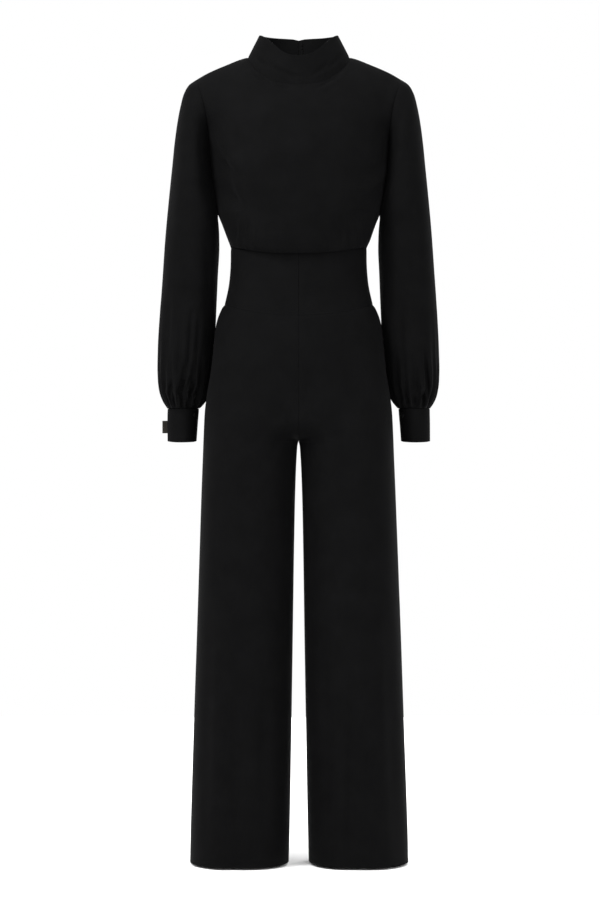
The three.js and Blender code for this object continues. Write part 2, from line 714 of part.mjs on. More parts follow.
// The closed wall between a skin and the same skin moved in
function wallGeometry({ rows, skin, isClosed, flipped, wall, seams }, directions) {
  const shifts = seamShifts(rows, isClosed, seams);
  const outer = skin.points.map((place, i) => place.clone().add(shifts[i]));
  const inner = skin.points.map((place, i) =>
    place.clone().addScaledVector(directions.get(seamKey(place)), -wall).add(shifts[i]),
  );
  const offset = outer.length;
  const triangles = [...skin.triangles];
  for (const [a, b, c] of skin.triangles) triangles.push([a + offset, c + offset, b + offset]);
  const rim = (line, isRing) => {
    const count = isRing ? line.length : line.length - 1;
    for (let i = 0; i < count; i += 1) {
      const a = line[i];
      const b = line[(i + 1) % line.length];
      triangles.push([b, a, a + offset], [b, a + offset, b + offset]);
    }
  };
  rim(skin.ids[0], isClosed);
  rim([...skin.ids[skin.ids.length - 1]].reverse(), isClosed);
  if (!isClosed) {
    rim(skin.ids.map((row) => row[0]).reverse(), false);
    rim(skin.ids.map((row) => row[row.length - 1]), false);
  }
  const index = flipped ? triangles.flatMap(([a, b, c]) => [a, c, b]) : triangles.flat();
  const geometry = new THREE.BufferGeometry();
  const positions = [...outer, ...inner].flatMap((place) => [place.x, place.y, place.z]);
  geometry.setAttribute("position", new THREE.Float32BufferAttribute(positions, 3));
  geometry.setIndex(index);
  geometry.computeVertexNormals();
  return geometry;
}

const mirrored = (rows) => rows.map((row) => row.map((place) => point(-place.x, place.y, place.z)));

// Every cloth piece: its rows of points, its wall, and which of its edges are sewn to another piece
function clothPieces() {
  const pieces = [
    {
      name: "collar",
      rows: collarRows(),
      wall: COLLAR_WALL,
      seams: { first: true },
    },
    {
      name: "bodice_front",
      rows: bodiceFront(),
      wall: WALL,
      seams: { first: true, last: true, start: true, end: true },
    },
  ];
  for (const side of [-1, 1]) {
    const word = side < 0 ? "left" : "right";
    const flipped = side < 0;
    const both = (rows) => (flipped ? mirrored(rows) : rows);
    pieces.push(
      {
        name: `bodice_back_${word}`,
        rows: centred(bodiceBack(side), side),
        flipped,
        wall: WALL,
        seams: { first: true, last: true, start: true },
      },
      {
        name: `sleeve_${word}`,
        rows: both(sleeveRows()),
        flipped,
        isClosed: true,
        wall: WALL,
        seams: { first: true },
      },
      { name: `cuff_${word}`, rows: both(cuffRows()), flipped, wall: BAND_WALL, seams: {} },
      {
        name: `waistband_front_${word}`,
        rows: waistbandRows(false, side),
        flipped,
        wall: BAND_WALL,
        seams: { last: true, start: true },
      },
      {
        name: `waistband_back_${word}`,
        rows: waistbandRows(true, side),
        flipped,
        wall: BAND_WALL,
        seams: { last: true, end: true },
      },
      {
        name: `trouser_front_${word}`,
        rows: trouserRows(false, side),
        flipped,
        wall: WALL,
        seams: { first: true, start: true, end: true },
      },
      {
        name: `trouser_back_${word}`,
        rows: trouserRows(true, side),
        flipped,
        wall: WALL,
        seams: { first: true, start: true, end: true },
      },
    );
  }
  return pieces.map((piece) => {
    const isClosed = Boolean(piece.isClosed);
    return { flipped: false, ...piece, isClosed, skin: skinOf(piece.rows, isClosed) };
  });
}

// Keeps the centre-back edge clear of the middle plane
function centred(rows, side) {
  for (const row of rows) row[row.length - 1].x = side * CENTRE_GAP;
  return rows;
}

const crepe = () => new THREE.MeshStandardMaterial({ color: 0x151515, roughness: 0.85, metalness: 0 });
const ribbon = () => new THREE.MeshStandardMaterial({ color: 0x2c2824, roughness: 0.7, metalness: 0 });

function makeCloth(group) {
  const pieces = clothPieces();
  const directions = outwardDirections(pieces);
  for (const piece of pieces) {
    const mesh = new THREE.Mesh(wallGeometry(piece, directions), crepe());
    mesh.name = piece.name;
    group.add(mesh);
  }
}

// Outer face of the collar near its centre back
function collarBackY(x, z) {
  const low = torsoY(0, neckBackZ(0), true);
  const share = (z - neckBackZ(0)) / (collarEdgeZ(180) - neckBackZ(0));
  return mix(low, COLLAR_TOP_BACK_Y, share) - (x * x) / (2 * COLLAR_TOP_HALF_WIDTH);
}

// A domed covered button whose axis runs along Y, with its flat back at the group's origin
function makeButton(name) {
  const profile = [new THREE.Vector2(0, 0), new THREE.Vector2(BUTTON_RADIUS - BUTTON_EDGE, 0)];
  for (let i = 0; i <= BUTTON_RINGS; i += 1) {
    const angle = (RIGHT_ANGLE * i) / BUTTON_RINGS;
    profile.push(
      new THREE.Vector2(
        i === BUTTON_RINGS ? 0 : BUTTON_RADIUS * Math.cos(angle),
        BUTTON_EDGE + (BUTTON_HEIGHT - BUTTON_EDGE) * Math.sin(angle),
      ),
    );
  }
  const button = new THREE.Mesh(new THREE.LatheGeometry(profile, BUTTON_SIDES), crepe());
  button.name = name;
  return button;
}

// A cord loop that comes out of one collar edge, goes round the button and returns
function makeLoop(name, z) {
  const ring = BUTTON_RADIUS + LOOP_RADIUS + BUTTON_LIFT;
  const places = [[-LOOP_REACH, z + ring * LOOP_ROOT_SPREAD]];
  for (let i = 0; i <= LOOP_TURN_STEPS; i += 1) {
    const angle = RIGHT_ANGLE * (1 - (2 * i) / LOOP_TURN_STEPS);
    places.push([BUTTON_X + ring * Math.cos(angle), z + ring * Math.sin(angle)]);
  }
  places.push([-LOOP_REACH, z - ring * LOOP_ROOT_SPREAD]);
  const route = new THREE.CatmullRomCurve3(
    places.map(([x, height]) => point(x, collarBackY(x, height) + LOOP_RADIUS + 2 * BUTTON_LIFT, height)),
  );
  const section = new THREE.Shape();
  section.absarc(0, 0, LOOP_RADIUS, 0, 2 * Math.PI, false);
  const options = { steps: LOOP_STEPS, curveSegments: LOOP_SIDES, bevelEnabled: false, extrudePath: route };
  const loop = new THREE.Mesh(new THREE.ExtrudeGeometry(section, options), crepe());
  loop.name = name;
  return loop;
}

function makeCollarFastening(group) {
  COLLAR_BUTTON_LEVELS.forEach((z, i) => {
    const button = makeButton(`collar_button_${i + 1}`);
    button.position.set(BUTTON_X, collarBackY(0, z + BUTTON_RADIUS) + BUTTON_LIFT, z);
    group.add(button, makeLoop(`collar_loop_${i + 1}`, z));
  });
}

function makeCuffButtons(group) {
  for (const side of [-1, 1]) {
    const button = makeButton(`cuff_button_${side < 0 ? "left" : "right"}`);
    const outX = curveThrough(CUFF_OUTLINE, "share", "outX")(CUFF_BUTTON_SHARE);
    const inX = curveThrough(CUFF_OUTLINE, "share", "inX")(CUFF_BUTTON_SHARE);
    const angle = 2 * Math.PI * CUFF_BUTTON_TURN;
    const halfWidth = (outX - inX) / 2 + CUFF_LAP_RISE + 2 * BUTTON_LIFT;
    const halfDepth = CUFF_HALF_DEPTH + CUFF_LAP_RISE + 2 * BUTTON_LIFT;
    const x = side * ((outX + inX) / 2 + halfWidth * Math.cos(angle));
    const y = CUFF_Y - halfDepth * Math.sin(angle);
    const outward = point(side * halfDepth * Math.cos(angle), -halfWidth * Math.sin(angle), 0).normalize();
    button.quaternion.setFromUnitVectors(point(0, 1, 0), outward);
    button.position.set(x, y, mix(CUFF_TOP_Z, CUFF_BOTTOM_Z, CUFF_BUTTON_SHARE));
    group.add(button);
  }
}

// A blank ribbon folded double, held by its two ends in the seam of the photo-left cuff
function makeTab(group) {
  const layer = TAB_THICKNESS / 2 - TAB_SLIT / 2;
  const outer = TAB_THICKNESS / 2;
  const section = new THREE.Shape();
  section.moveTo(0, outer);
  section.lineTo(0, outer - layer);
  section.lineTo(outer - TAB_WIDTH, outer - layer);
  section.lineTo(outer - TAB_WIDTH, layer - outer);
  section.lineTo(0, layer - outer);
  section.lineTo(0, -outer);
  section.lineTo(outer - TAB_WIDTH, -outer);
  section.absarc(outer - TAB_WIDTH, 0, outer, -RIGHT_ANGLE, RIGHT_ANGLE, true);
  const options = { depth: TAB_HEIGHT, bevelEnabled: false, curveSegments: TAB_FOLD_SIDES };
  const tab = new THREE.Mesh(new THREE.ExtrudeGeometry(section, options), ribbon());
  tab.name = "cuff_tab";
  tab.position.set(-CUFF_OUTLINE[1].outX - SEAM_GAP, CUFF_Y, TAB_CENTRE_Z - TAB_HEIGHT / 2);
  group.add(tab);
}

const jumpsuit = new THREE.Group();
makeCloth(jumpsuit);
makeCollarFastening(jumpsuit);
makeCuffButtons(jumpsuit);
makeTab(jumpsuit);

export default jumpsuit;
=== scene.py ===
"""Looks of a black crepe jumpsuit, filled out: dense shells on the forms of its panels, with folds.

Lengths in the tables are millimetres in the part's frame: +Z up, the front faces -Y,
and the origin lies between the side points of the neck seam.
"""

import math

import bpy
import numpy as np
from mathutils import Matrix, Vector


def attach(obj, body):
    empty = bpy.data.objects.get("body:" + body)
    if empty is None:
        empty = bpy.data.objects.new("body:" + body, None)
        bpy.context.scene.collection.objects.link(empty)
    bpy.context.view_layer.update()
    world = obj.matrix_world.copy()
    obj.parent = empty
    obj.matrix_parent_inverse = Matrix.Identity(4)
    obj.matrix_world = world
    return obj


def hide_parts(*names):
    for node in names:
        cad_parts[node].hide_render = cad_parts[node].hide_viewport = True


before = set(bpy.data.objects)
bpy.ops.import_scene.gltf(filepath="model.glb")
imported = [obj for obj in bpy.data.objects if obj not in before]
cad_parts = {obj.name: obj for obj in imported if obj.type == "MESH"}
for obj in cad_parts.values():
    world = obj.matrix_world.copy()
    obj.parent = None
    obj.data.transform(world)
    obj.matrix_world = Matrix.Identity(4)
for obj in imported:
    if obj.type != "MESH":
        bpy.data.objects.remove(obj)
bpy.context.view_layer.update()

MM = 0.001
SIDES = ((-1, "left"), (1, "right"))

# sizes of the cloth
CLOTH = 1.0
COLLAR_CLOTH = 2.2
BAND_CLOTH = 1.8
CENTRE_GAP = 0.08
SEAM_GAP = 0.16
SEAM_REACH = 2.4
ALLOWANCE = 7.0
ALLOWANCE_DROP = 2.4
ALLOWANCE_PROFILE = ((1.0, 1.15), (0.55, 1.05), (0.12, 0.85), (0.0, 0.3))
ALLOWANCE_THINNESS = 0.6
ALLOWANCE_IN_NECK = 0.3
ALLOWANCE_CLIPPED = 0.6
SEAM_COLUMNS = (0.0, 0.4, 1.0, 1.8, 3.0)
HEM_RISE = 22.0
HEM_TURN = 1.2

# form of the neck and the collar
NECK_HALF_WIDTH = 93
COLLAR_TOP_HALF_WIDTH = 72.5
COLLAR_TOP_SIDE_Y = 4
COLLAR_TOP_FRONT_Y = -57
COLLAR_TOP_BACK_Y = 56
NECK_SEAM_FRONT = (("angle", "z"), (0, -57), (23, -52), (44, -38), (56, -28), (75, -9.5), (90, 0))
NECK_SEAM_BACK = (("angle", "z"), (0, -6), (45, -5), (90, 0))
COLLAR_EDGE = (
    ("angle", "z"),
    (0, -3.5), (14, -0.5), (26, 7), (42, 21.5), (56, 32.5), (73, 38.5), (90, 40.4), (115, 42),
    (150, 41.4), (170, 40.4), (180, 38),
)

# form of the bodice
SHOULDER_X = 188
SHOULDER_Z = -40.5
UNDERARM_Z = -288
NECK_SHARE = 8 / 14
NECK_WARP_END_Z = -150
NECK_WARP_POWER = 1.2
FRONT_SHOULDER = (200, 1.5)
BACK_SHOULDER = (120, 2.2)
TORSO_SQUARENESS = 2.4
SHOULDER_LINE = (
    ("x", "z", "y"),
    (0, 6, 7), (60, 4.5, 8), (93, 1, 8), (136, -14.4, 7), (167.6, -28.6, 5), (188, -40.5, 4),
)
ARMHOLE = (
    ("z", "x"),
    (-288, 147.6), (-278, 149), (-262, 151.5), (-246, 154.5), (-232, 157), (-210, 160.2),
    (-184, 162.2), (-161, 163.5), (-137, 165), (-113, 168),
    (-90, 172.5), (-72, 177.5), (-55, 183), (-40.5, 188),
)
TORSO = (
    ("z", "half_width", "front", "back"),
    (-322, 134.3, 115, 107.5), (-301, 142.3, 118, 108), (-288, 147.6, 119, 107.5),
    (-262, 153, 120.3, 107), (-232, 159.5, 121, 106), (-190, 164.6, 121, 106),
    (-150, 170, 120, 105), (-120, 177, 119, 104), (-80, 193, 118, 102), (-40.5, 214, 118, 100),
)
BLOUSE = (
    ("side_z", "front_z", "back_z", "half_width", "front", "back"),
    (-349.2, -357, -352, 124, 93.5, 96.5), (-348.8, -364.5, -356, 124.6, 99, 99),
    (-346, -362, -353, 125.2, 106, 103), (-338, -348, -343, 128.2, 112, 106),
)

# form of the waistband and the trousers
BAND_SQUARENESS = 2.3
LEG_SQUARENESS = 2.3
HIP_LEVEL_Z = -545
CROTCH_TOP_Z = -625
CROTCH_Z = -702
CROTCH_RADIUS = 45
CROTCH_SPREAD = 150
CROTCH_Y = 4
HEM_Z = -1470
WAISTBAND = (
    ("side_z", "front_z", "back_z", "half_width", "front", "back"),
    (-349.7, -357.5, -352.5, 124.2, 93.5, 96.5), (-384, -396, -388, 124.8, 95.5, 99),
    (-420, -436, -426, 128.4, 100, 105), (-453.5, -476, -462, 135.8, 106.5, 113),
)
HIP = (
    ("z", "half_width", "front", "back", "squareness"),
    (-453.5, 135.8, 106.5, 113, 2.3), (-457, 139, 108, 114.5, 2.3), (-463, 142.2, 109, 116.5, 2.3),
    (-476.7, 147.8, 110, 119.5, 2.3), (-491, 151.4, 110.5, 122, 2.35), (-526, 155.1, 111, 124.5, 2.45),
    (-549, 157.5, 111, 125, 2.6), (-575, 160.3, 110.5, 124.5, 2.8), (-617, 167.2, 109, 121, 3.1),
    (-652, 171.2, 107.5, 117, 3.3), (-702, 173.6, 106, 113, 3.4),
)
LEG = (
    ("z", "inner", "outer", "front", "back"),
    (-702, 0.2, 173.6, 106, 113), (-711, 2.4, 173.9, 106, 112.5), (-799, 6.3, 177.3, 105, 109),
    (-887, 8.2, 180.3, 104, 107), (-1062, 11, 186, 104, 106), (-1238, 13.5, 192, 105, 107),
    (-1414, 16.6, 197.8, 107, 109), (-1470, 18.2, 199, 108, 110),
)
LEG_FOLDS = (
    ("is_back", "share", "depth", "width", "start_z"),
    (False, 0.5, 4.5, 0.09, -1000), (False, 0.8, 3, 0.09, -800),
    (True, 0.3, 4, 0.09, -900), (True, 0.6, 5, 0.1, -760),
)

# form of the sleeves and the cuffs
SLEEVE_SQUARENESS = 2.2
SLEEVE = (
    ("out_x", "out_z", "in_x", "in_z", "y", "front", "back", "gather"),
    (188, -40.5, 147.6, -288, 4, 30, 34, 0), (201.5, -50, 147.9, -291.5, 6, 46, 43, 0),
    (210, -64, 147.9, -295, 9, 58, 47, 0), (216.8, -87, 147.7, -298.5, 12, 66, 48, 0),
    (222.6, -116, 147.3, -302.5, 15, 71, 48, 0), (227.6, -152, 146.9, -307.5, 17, 74, 48, 0),
    (232.6, -202, 146.4, -316, 19, 75, 48, 0), (238.1, -260, 146, -330, 20, 74, 50, 0),
    (243.6, -320, 146, -355, 21, 71, 53, 0), (249.1, -388, 148.4, -398, 22, 68, 56, 0),
    (253.6, -446, 150.5, -449, 23, 66, 60, 0), (256.8, -498, 152.9, -499, 24, 65, 63, 0.2),
    (258.2, -545, 157.6, -545, 26, 65, 65, 0.8), (257.9, -580, 161.6, -580, 28, 63, 65, 1.8),
    (255, -607, 166.2, -606, 30, 57, 59, 3.2), (250.6, -622.5, 171.8, -622, 32, 49, 51, 3.6),
    (245.8, -633.5, 177.8, -632.5, 33, 40, 41, 2.8), (241.6, -642, 183.4, -641.6, 34, 31.5, 31.5, 0.9),
)
ARMHOLE_BLEND_RINGS = 5
GATHERS = (
    ("width", "depth"),
    (1.1, 0.7), (0.8, 1.1), (0.9, 0.9), (1.2, 1.3), (0.8, 1), (1, 1.2), (1.1, 0.8), (0.9, 1),
    (1.2, 1.2), (0.8, 0.8), (1, 1.1), (1.1, 0.9), (0.9, 1.2), (1.2, 1), (0.9, 0.8), (1.1, 1.1),
)
CUFF_TOP_Z = -642.6
CUFF_BOTTOM_Z = -701.5
CUFF_FRONT_DIP = 3
CUFF_Y = 34
CUFF_HALF_DEPTH = 31.5
CUFF_LAP = 0.07
CUFF_LAP_START = 0.328
CUFF_LAP_RISE = 2.5
CUFF_OUTLINE = (("share", "out_x", "in_x"), (0, 241.4, 183.6), (0.5, 241.8, 186.2), (1, 241.7, 188.4))

# trims
BUTTON_RADIUS = 4
BUTTON_HEIGHT = 3.4
BUTTON_RIM = 1.3
BUTTON_LIFT = 0.3
CUFF_BUTTON_TURN = 0.374
CUFF_BUTTON_SHARE = 0.2
BUTTON_X = 5
COLLAR_BUTTON_LEVELS = (7, 29)
LOOP_RADIUS = 0.8
LOOP_REACH = 7
LOOP_SPREAD = 0.6
LOOP_LIFT = 0.6
TAB_CLOTH = 0.4
TAB_WIDTH = 9
TAB_HEIGHT = 23
TAB_CENTRE_Z = -676
TAB_SEWN_IN = 1.5
TACK_LEVELS = (33, 27, 20, 12, 5)
TACK_LENGTH = 4.4
TACK_RADIUS = 0.55


# tables and curves
def rows_of(table):
    names, *rows = table
    return [dict(zip(names, row)) for row in rows]


def curve(table, along, value):
    """A smooth curve through one column of a table, which never swings past its rows."""
    rows = sorted(rows_of(table), key=lambda row: row[along])
    places = np.array([row[along] for row in rows], float)
    values = np.array([row[value] for row in rows], float)
    slopes = np.diff(values) / np.diff(places)
    product = slopes[:-1] * slopes[1:]
    total = np.where(product > 0, slopes[:-1] + slopes[1:], 1)
    tangents = np.concatenate([slopes[:1], np.where(product > 0, 2 * product / total, 0), slopes[-1:]])

    def at(place):
        place = np.clip(np.asarray(place, float), places[0], places[-1])
        i = np.clip(np.searchsorted(places, place, side="right") - 1, 0, len(places) - 2)
        span = places[i + 1] - places[i]
        t = (place - places[i]) / span
        rise = t * t * (3 - 2 * t)
        lift = t * (1 - t) * span
        bend = (1 - t) * tangents[i] - t * tangents[i + 1]
        return values[i] * (1 - rise) + values[i + 1] * rise + lift * bend

    return at


def curves(table):
    """A curve along the first column for each of the others."""
    along, *values = table[0]
    return [curve(table, along, value) for value in values]


def power(value, exponent):
    return np.sign(value) * np.abs(value) ** exponent


def mix(a, b, share):
    return a + (b - a) * share


def smooth(value, low, high):
    t = np.clip((value - low) / (high - low), 0, 1)
    return t * t * (3 - 2 * t)


def stack(x, y, z):
    return np.stack(np.broadcast_arrays(x, y, z), axis=-1).astype(float)


(neck_front_z,) = curves(NECK_SEAM_FRONT)
(neck_back_z,) = curves(NECK_SEAM_BACK)
(collar_edge_z,) = curves(COLLAR_EDGE)
shoulder_z, shoulder_y = curves(SHOULDER_LINE)
(armhole_x,) = curves(ARMHOLE)
torso_half_width, torso_front, torso_back = curves(TORSO)
hip_half_width, hip_front, hip_back, hip_squareness = curves(HIP)
leg_inner, leg_outer, leg_front, leg_back = curves(LEG)
cuff_out_x, cuff_in_x = curves(CUFF_OUTLINE)


# forms
def torso_y(x, z, is_back):
    """Depth of the bodice's form at a place seen from the front or the back."""
    reach, rounding = BACK_SHOULDER if is_back else FRONT_SHOULDER
    distance = np.abs(x)
    ridge = shoulder_y(distance)
    below = np.clip((shoulder_z(distance) - z) / reach, 0, 1)
    rise = (1 - (1 - below) ** rounding) ** (1 / rounding)
    across = np.minimum(distance / torso_half_width(z), 1) ** TORSO_SQUARENESS
    depth = (torso_back(z) if is_back else -torso_front(z)) - ridge
    return ridge + depth * (1 - across) ** (1 / TORSO_SQUARENESS) * rise


def section(row, share, is_back, squareness, side):
    """A level of an oval form, from the centre seam at share 0 to the side seam at share 1."""
    angle = share * math.pi / 2
    across = power(np.sin(angle), 2 / squareness)
    ahead = power(np.cos(angle), 2 / squareness)
    depth = row["back"] * ahead if is_back else -row["front"] * ahead
    z = mix(row["side_z"], row["back_z"] if is_back else row["front_z"], np.cos(angle) ** 2)
    return stack(side * row["half_width"] * across, depth, z)


def armhole_level(turn):
    middle = (SHOULDER_Z + UNDERARM_Z) / 2
    half = (SHOULDER_Z - UNDERARM_Z) / 2
    return middle + half * np.cos(2 * math.pi * turn)


def bodice_level(level, share, is_back, side):
    """A row of half a bodice panel above the blouse."""
    half_width = torso_half_width(level)
    edge = armhole_x(level) if level > UNDERARM_Z else half_width
    edge_angle = math.asin(min(edge / half_width, 1) ** (TORSO_SQUARENESS / 2))
    across = (np.sin(edge_angle * share) / math.sin(edge_angle)) ** (2 / TORSO_SQUARENESS)
    neck_angle = np.minimum(share / NECK_SHARE, 1) * math.pi / 2
    neck_z = (neck_back_z if is_back else neck_front_z)(np.degrees(neck_angle))
    shoulder_x = mix(NECK_HALF_WIDTH, SHOULDER_X, (share - NECK_SHARE) / (1 - NECK_SHARE))
    on_neck = share <= NECK_SHARE
    top_x = np.where(on_neck, NECK_HALF_WIDTH * np.sin(neck_angle), shoulder_x)
    top_z = np.where(on_neck, neck_z, shoulder_z(shoulder_x))
    rise = max((level - NECK_WARP_END_Z) / (SHOULDER_Z - NECK_WARP_END_Z), 0) ** NECK_WARP_POWER
    x = edge * mix(across, top_x / SHOULDER_X, rise)
    z = level + (top_z - SHOULDER_Z) * rise
    return stack(side * x, torso_y(x, z, is_back), z)


def hip_y(x, z, is_back):
    squareness = hip_squareness(z)
    fullness = (1 - np.minimum(x / hip_half_width(z), 1) ** squareness) ** (1 / squareness)
    return hip_back(z) * fullness if is_back else -hip_front(z) * fullness


def leg_section(z, share, is_back, inner, outer, reach):
    angle = math.pi * (1 - share)
    across = power(np.cos(angle), 2 / LEG_SQUARENESS)
    ahead = power(np.sin(angle), 2 / LEG_SQUARENESS)
    y = (reach if is_back else -reach) * ahead + CROTCH_Y * (1 - share)
    return stack((inner + outer) / 2 + (outer - inner) / 2 * across, y, z)


def hip_level(side_z, share, is_back):
    squareness = float(hip_squareness(side_z))
    half_width = float(hip_half_width(side_z))
    slide = min(max((side_z - HIP_LEVEL_Z) / (CROTCH_TOP_Z - HIP_LEVEL_Z), 0), 1)
    angle = share * math.pi / 2
    even = half_width * power(np.sin(angle), 2 / squareness)
    own = leg_section(side_z, share, is_back, CENTRE_GAP, half_width, 0)[..., 0]
    x = mix(even, own, slide)
    seam = rows_of(WAISTBAND)[-1]
    run = min((side_z - seam["side_z"]) / (HIP_LEVEL_Z - seam["side_z"]), 1)
    dip = (seam["back_z"] if is_back else seam["front_z"]) - seam["side_z"]
    return stack(x, hip_y(x, side_z, is_back), side_z + dip * (1 - run) * np.cos(angle) ** 2)


def crotch_level(share_down, share, is_back):
    """A row where the body's section turns into the leg's, which rounds under from the centre seam too."""
    z = mix(CROTCH_TOP_Z, CROTCH_Z, share_down)
    half_width = float(hip_half_width(z))
    reach = float(hip_back(z) if is_back else hip_front(z))
    place = leg_section(z, share, is_back, CENTRE_GAP, half_width, reach)
    spread = CROTCH_SPREAD * share * float(smooth(z - CROTCH_Z, 3, 24))
    place[..., 0] = x = np.maximum(place[..., 0], CENTRE_GAP + spread)
    from_seam = np.minimum(np.hypot(2 * x / half_width, (z - CROTCH_Z) / CROTCH_RADIUS), 1)
    fullness = (1 - (1 - from_seam) ** LEG_SQUARENESS) ** (1 / LEG_SQUARENESS)
    rounded = (reach if is_back else -reach) * fullness + CROTCH_Y * (1 - share)
    own = np.where(2 * x < half_width, rounded, place[..., 1])
    place[..., 1] = mix(hip_y(x, z, is_back), own, float(smooth(share_down, 0, 1)))
    return place


def leg_level(z, share, is_back):
    reach = float(leg_back(z) if is_back else leg_front(z))
    place = leg_section(z, share, is_back, float(leg_inner(z)), float(leg_outer(z)), reach)
    for fold in rows_of(LEG_FOLDS):
        if fold["is_back"] == is_back:
            grown = float(smooth(-z, -fold["start_z"], -HEM_Z))
            near = np.exp(-(((share - fold["share"]) / fold["width"]) ** 2))
            place[..., 1] += (-1 if is_back else 1) * fold["depth"] * grown * near
    return place


def gather_fold(turn):
    """Valleys and crests of the gathers round a sleeve's end, from -1 to about 1."""
    widths = np.array([row["width"] for row in rows_of(GATHERS)])
    depths = np.array([row["depth"] for row in rows_of(GATHERS)])
    starts = np.concatenate([[0], np.cumsum(widths)]) / widths.sum()
    turn = np.mod(turn, 1)
    i = np.clip(np.searchsorted(starts, turn, side="right") - 1, 0, len(widths) - 1)
    local = (turn - starts[i]) / (starts[i + 1] - starts[i])
    wave = -np.cos(2 * math.pi * local)
    wave = np.where(wave < 0, -np.abs(wave) ** 1.7, wave)
    return wave * depths[i]


def sleeve_ring(row, turn):
    angle = 2 * math.pi * turn
    across = power(np.cos(angle), 2 / SLEEVE_SQUARENESS)
    ahead = power(np.sin(angle), 2 / SLEEVE_SQUARENESS)
    half_x = (row["out_x"] - row["in_x"]) / 2
    half_z = (row["out_z"] - row["in_z"]) / 2
    depth = np.where(ahead > 0, row["front"], row["back"])
    stand = 1 + gather_fold(turn) * row["gather"] / np.hypot(half_x * across, depth * ahead)
    return stack(
        (row["out_x"] + row["in_x"]) / 2 + half_x * across * stand,
        row["y"] - depth * ahead * stand,
        (row["out_z"] + row["in_z"]) / 2 + half_z * across,
    )


def armhole_ring(turn):
    places = []
    for t in turn:
        is_back = t > 0.5
        places.append(bodice_level(float(armhole_level(t)), np.array([1.0]), is_back, 1)[0])
    return np.array(places)


def loft(keys, spacing, guide=-1):
    """Rows on smooth curves through key rows, about a spacing apart along the guide column."""
    keys = np.asarray(keys, float)
    knots = np.concatenate([[0], np.cumsum(np.linalg.norm(np.diff(keys[:, guide], axis=0), axis=1))])
    gaps = np.diff(knots)[:, None, None]
    slopes = np.diff(keys, axis=0) / gaps
    tangents = np.empty_like(keys)
    tangents[0], tangents[-1] = slopes[0], slopes[-1]
    tangents[1:-1] = (slopes[1:] * gaps[:-1] + slopes[:-1] * gaps[1:]) / (gaps[:-1] + gaps[1:])
    at = []
    for k, gap in enumerate(np.diff(knots)):
        steps = max(int(round(gap / spacing)), 1)
        at += [k + i / steps for i in range(steps)]
    at = np.array(at + [len(keys) - 1.0])
    k = np.minimum(at.astype(int), len(keys) - 2)
    t = (at - k)[:, None, None]
    span = gaps[k]
    return (
        keys[k] * (1 + 2 * t) * (1 - t) ** 2
        + tangents[k] * t * (1 - t) ** 2 * span
        + keys[k + 1] * t * t * (3 - 2 * t)
        + tangents[k + 1] * t * t * (t - 1) * span
    )


def shares(count, length, ends=(True, True)):
    """Even shares from 0 to 1, with extra ones beside the seams at the ends."""
    middle = np.linspace(0, 1, count + 1)
    low = [d / length for d in SEAM_COLUMNS] if ends[0] else [0.0]
    high = [1 - d / length for d in SEAM_COLUMNS] if ends[1] else [1.0]
    keep = middle[(middle > max(low) + 0.5 / count) & (middle < min(high) - 0.5 / count)]
    return np.array(sorted(set(low) | set(high) | set(keep)))


# folds
FOLD_END = 0.06


def segments_distance(x, z, line):
    """Distance from a polyline, signed by the side, and the share along it."""
    line = np.asarray(line, float)
    lengths = np.linalg.norm(np.diff(line, axis=0), axis=1)
    total = lengths.sum()
    best = np.full(np.shape(x), 1e9)
    side = np.zeros(np.shape(x))
    along = np.zeros(np.shape(x))
    walked = 0
    for (ax, az), (bx, bz), length in zip(line[:-1], line[1:], lengths):
        dx, dz = (bx - ax) / length, (bz - az) / length
        t = np.clip((x - ax) * dx + (z - az) * dz, 0, length)
        ex, ez = x - ax - t * dx, z - az - t * dz
        d = np.hypot(ex, ez)
        nearer = d < best
        best = np.where(nearer, d, best)
        side = np.where(nearer, np.sign(dx * ez - dz * ex), side)
        along = np.where(nearer, (walked + t) / total, along)
        walked += length
    return best, side, along


def crease(x, z, line, depth, width, lip=0.45):
    """A soft trough along a line, deepest in its middle, with a raised lip on one side."""
    distance, side, along = segments_distance(x, z, line)
    fade = np.sin(math.pi * (FOLD_END + (1 - 2 * FOLD_END) * along)) ** 0.8
    signed = distance * np.where(side == 0, 1, side)
    trough = -np.exp(-((signed / width) ** 2))
    ridge = lip * np.exp(-(((signed - 1.9 * width) / (1.4 * width)) ** 2))
    return depth * fade * (trough + ridge)


def waviness(x, y, z, seed, size, height):
    """A slow, uneven swell of the cloth, the same on every run."""
    out = 0
    for k in range(5):
        a, b, c, d = [math.sin(12.9898 * (seed + 1) * (k + 1) + n * 4.1414) for n in range(4)]
        run = x * a + y * b * 0.7 + z * c * 0.45
        out = out + np.sin(run * 2 * math.pi / size + d * 6) / (1 + 0.4 * k)
    return out * height / 2.2


def creases(x, z, rows):
    total = np.zeros(np.shape(x))
    for line, depth, width in rows:
        total = total + crease(x, z, line, depth, width)
    return total


def mirrored(rows, side):
    return [([(side * px, pz) for px, pz in line], depth, width) for line, depth, width in rows]


def folds_of(rows, seed, size, height):
    """Gives a function of a grid: how far folds and a slow swell lift a panel's cloth off its form."""

    def at(grid):
        x, y, z = np.moveaxis(grid, -1, 0)
        return creases(x, z, rows) + waviness(x, y, z, seed, size, height)

    return at


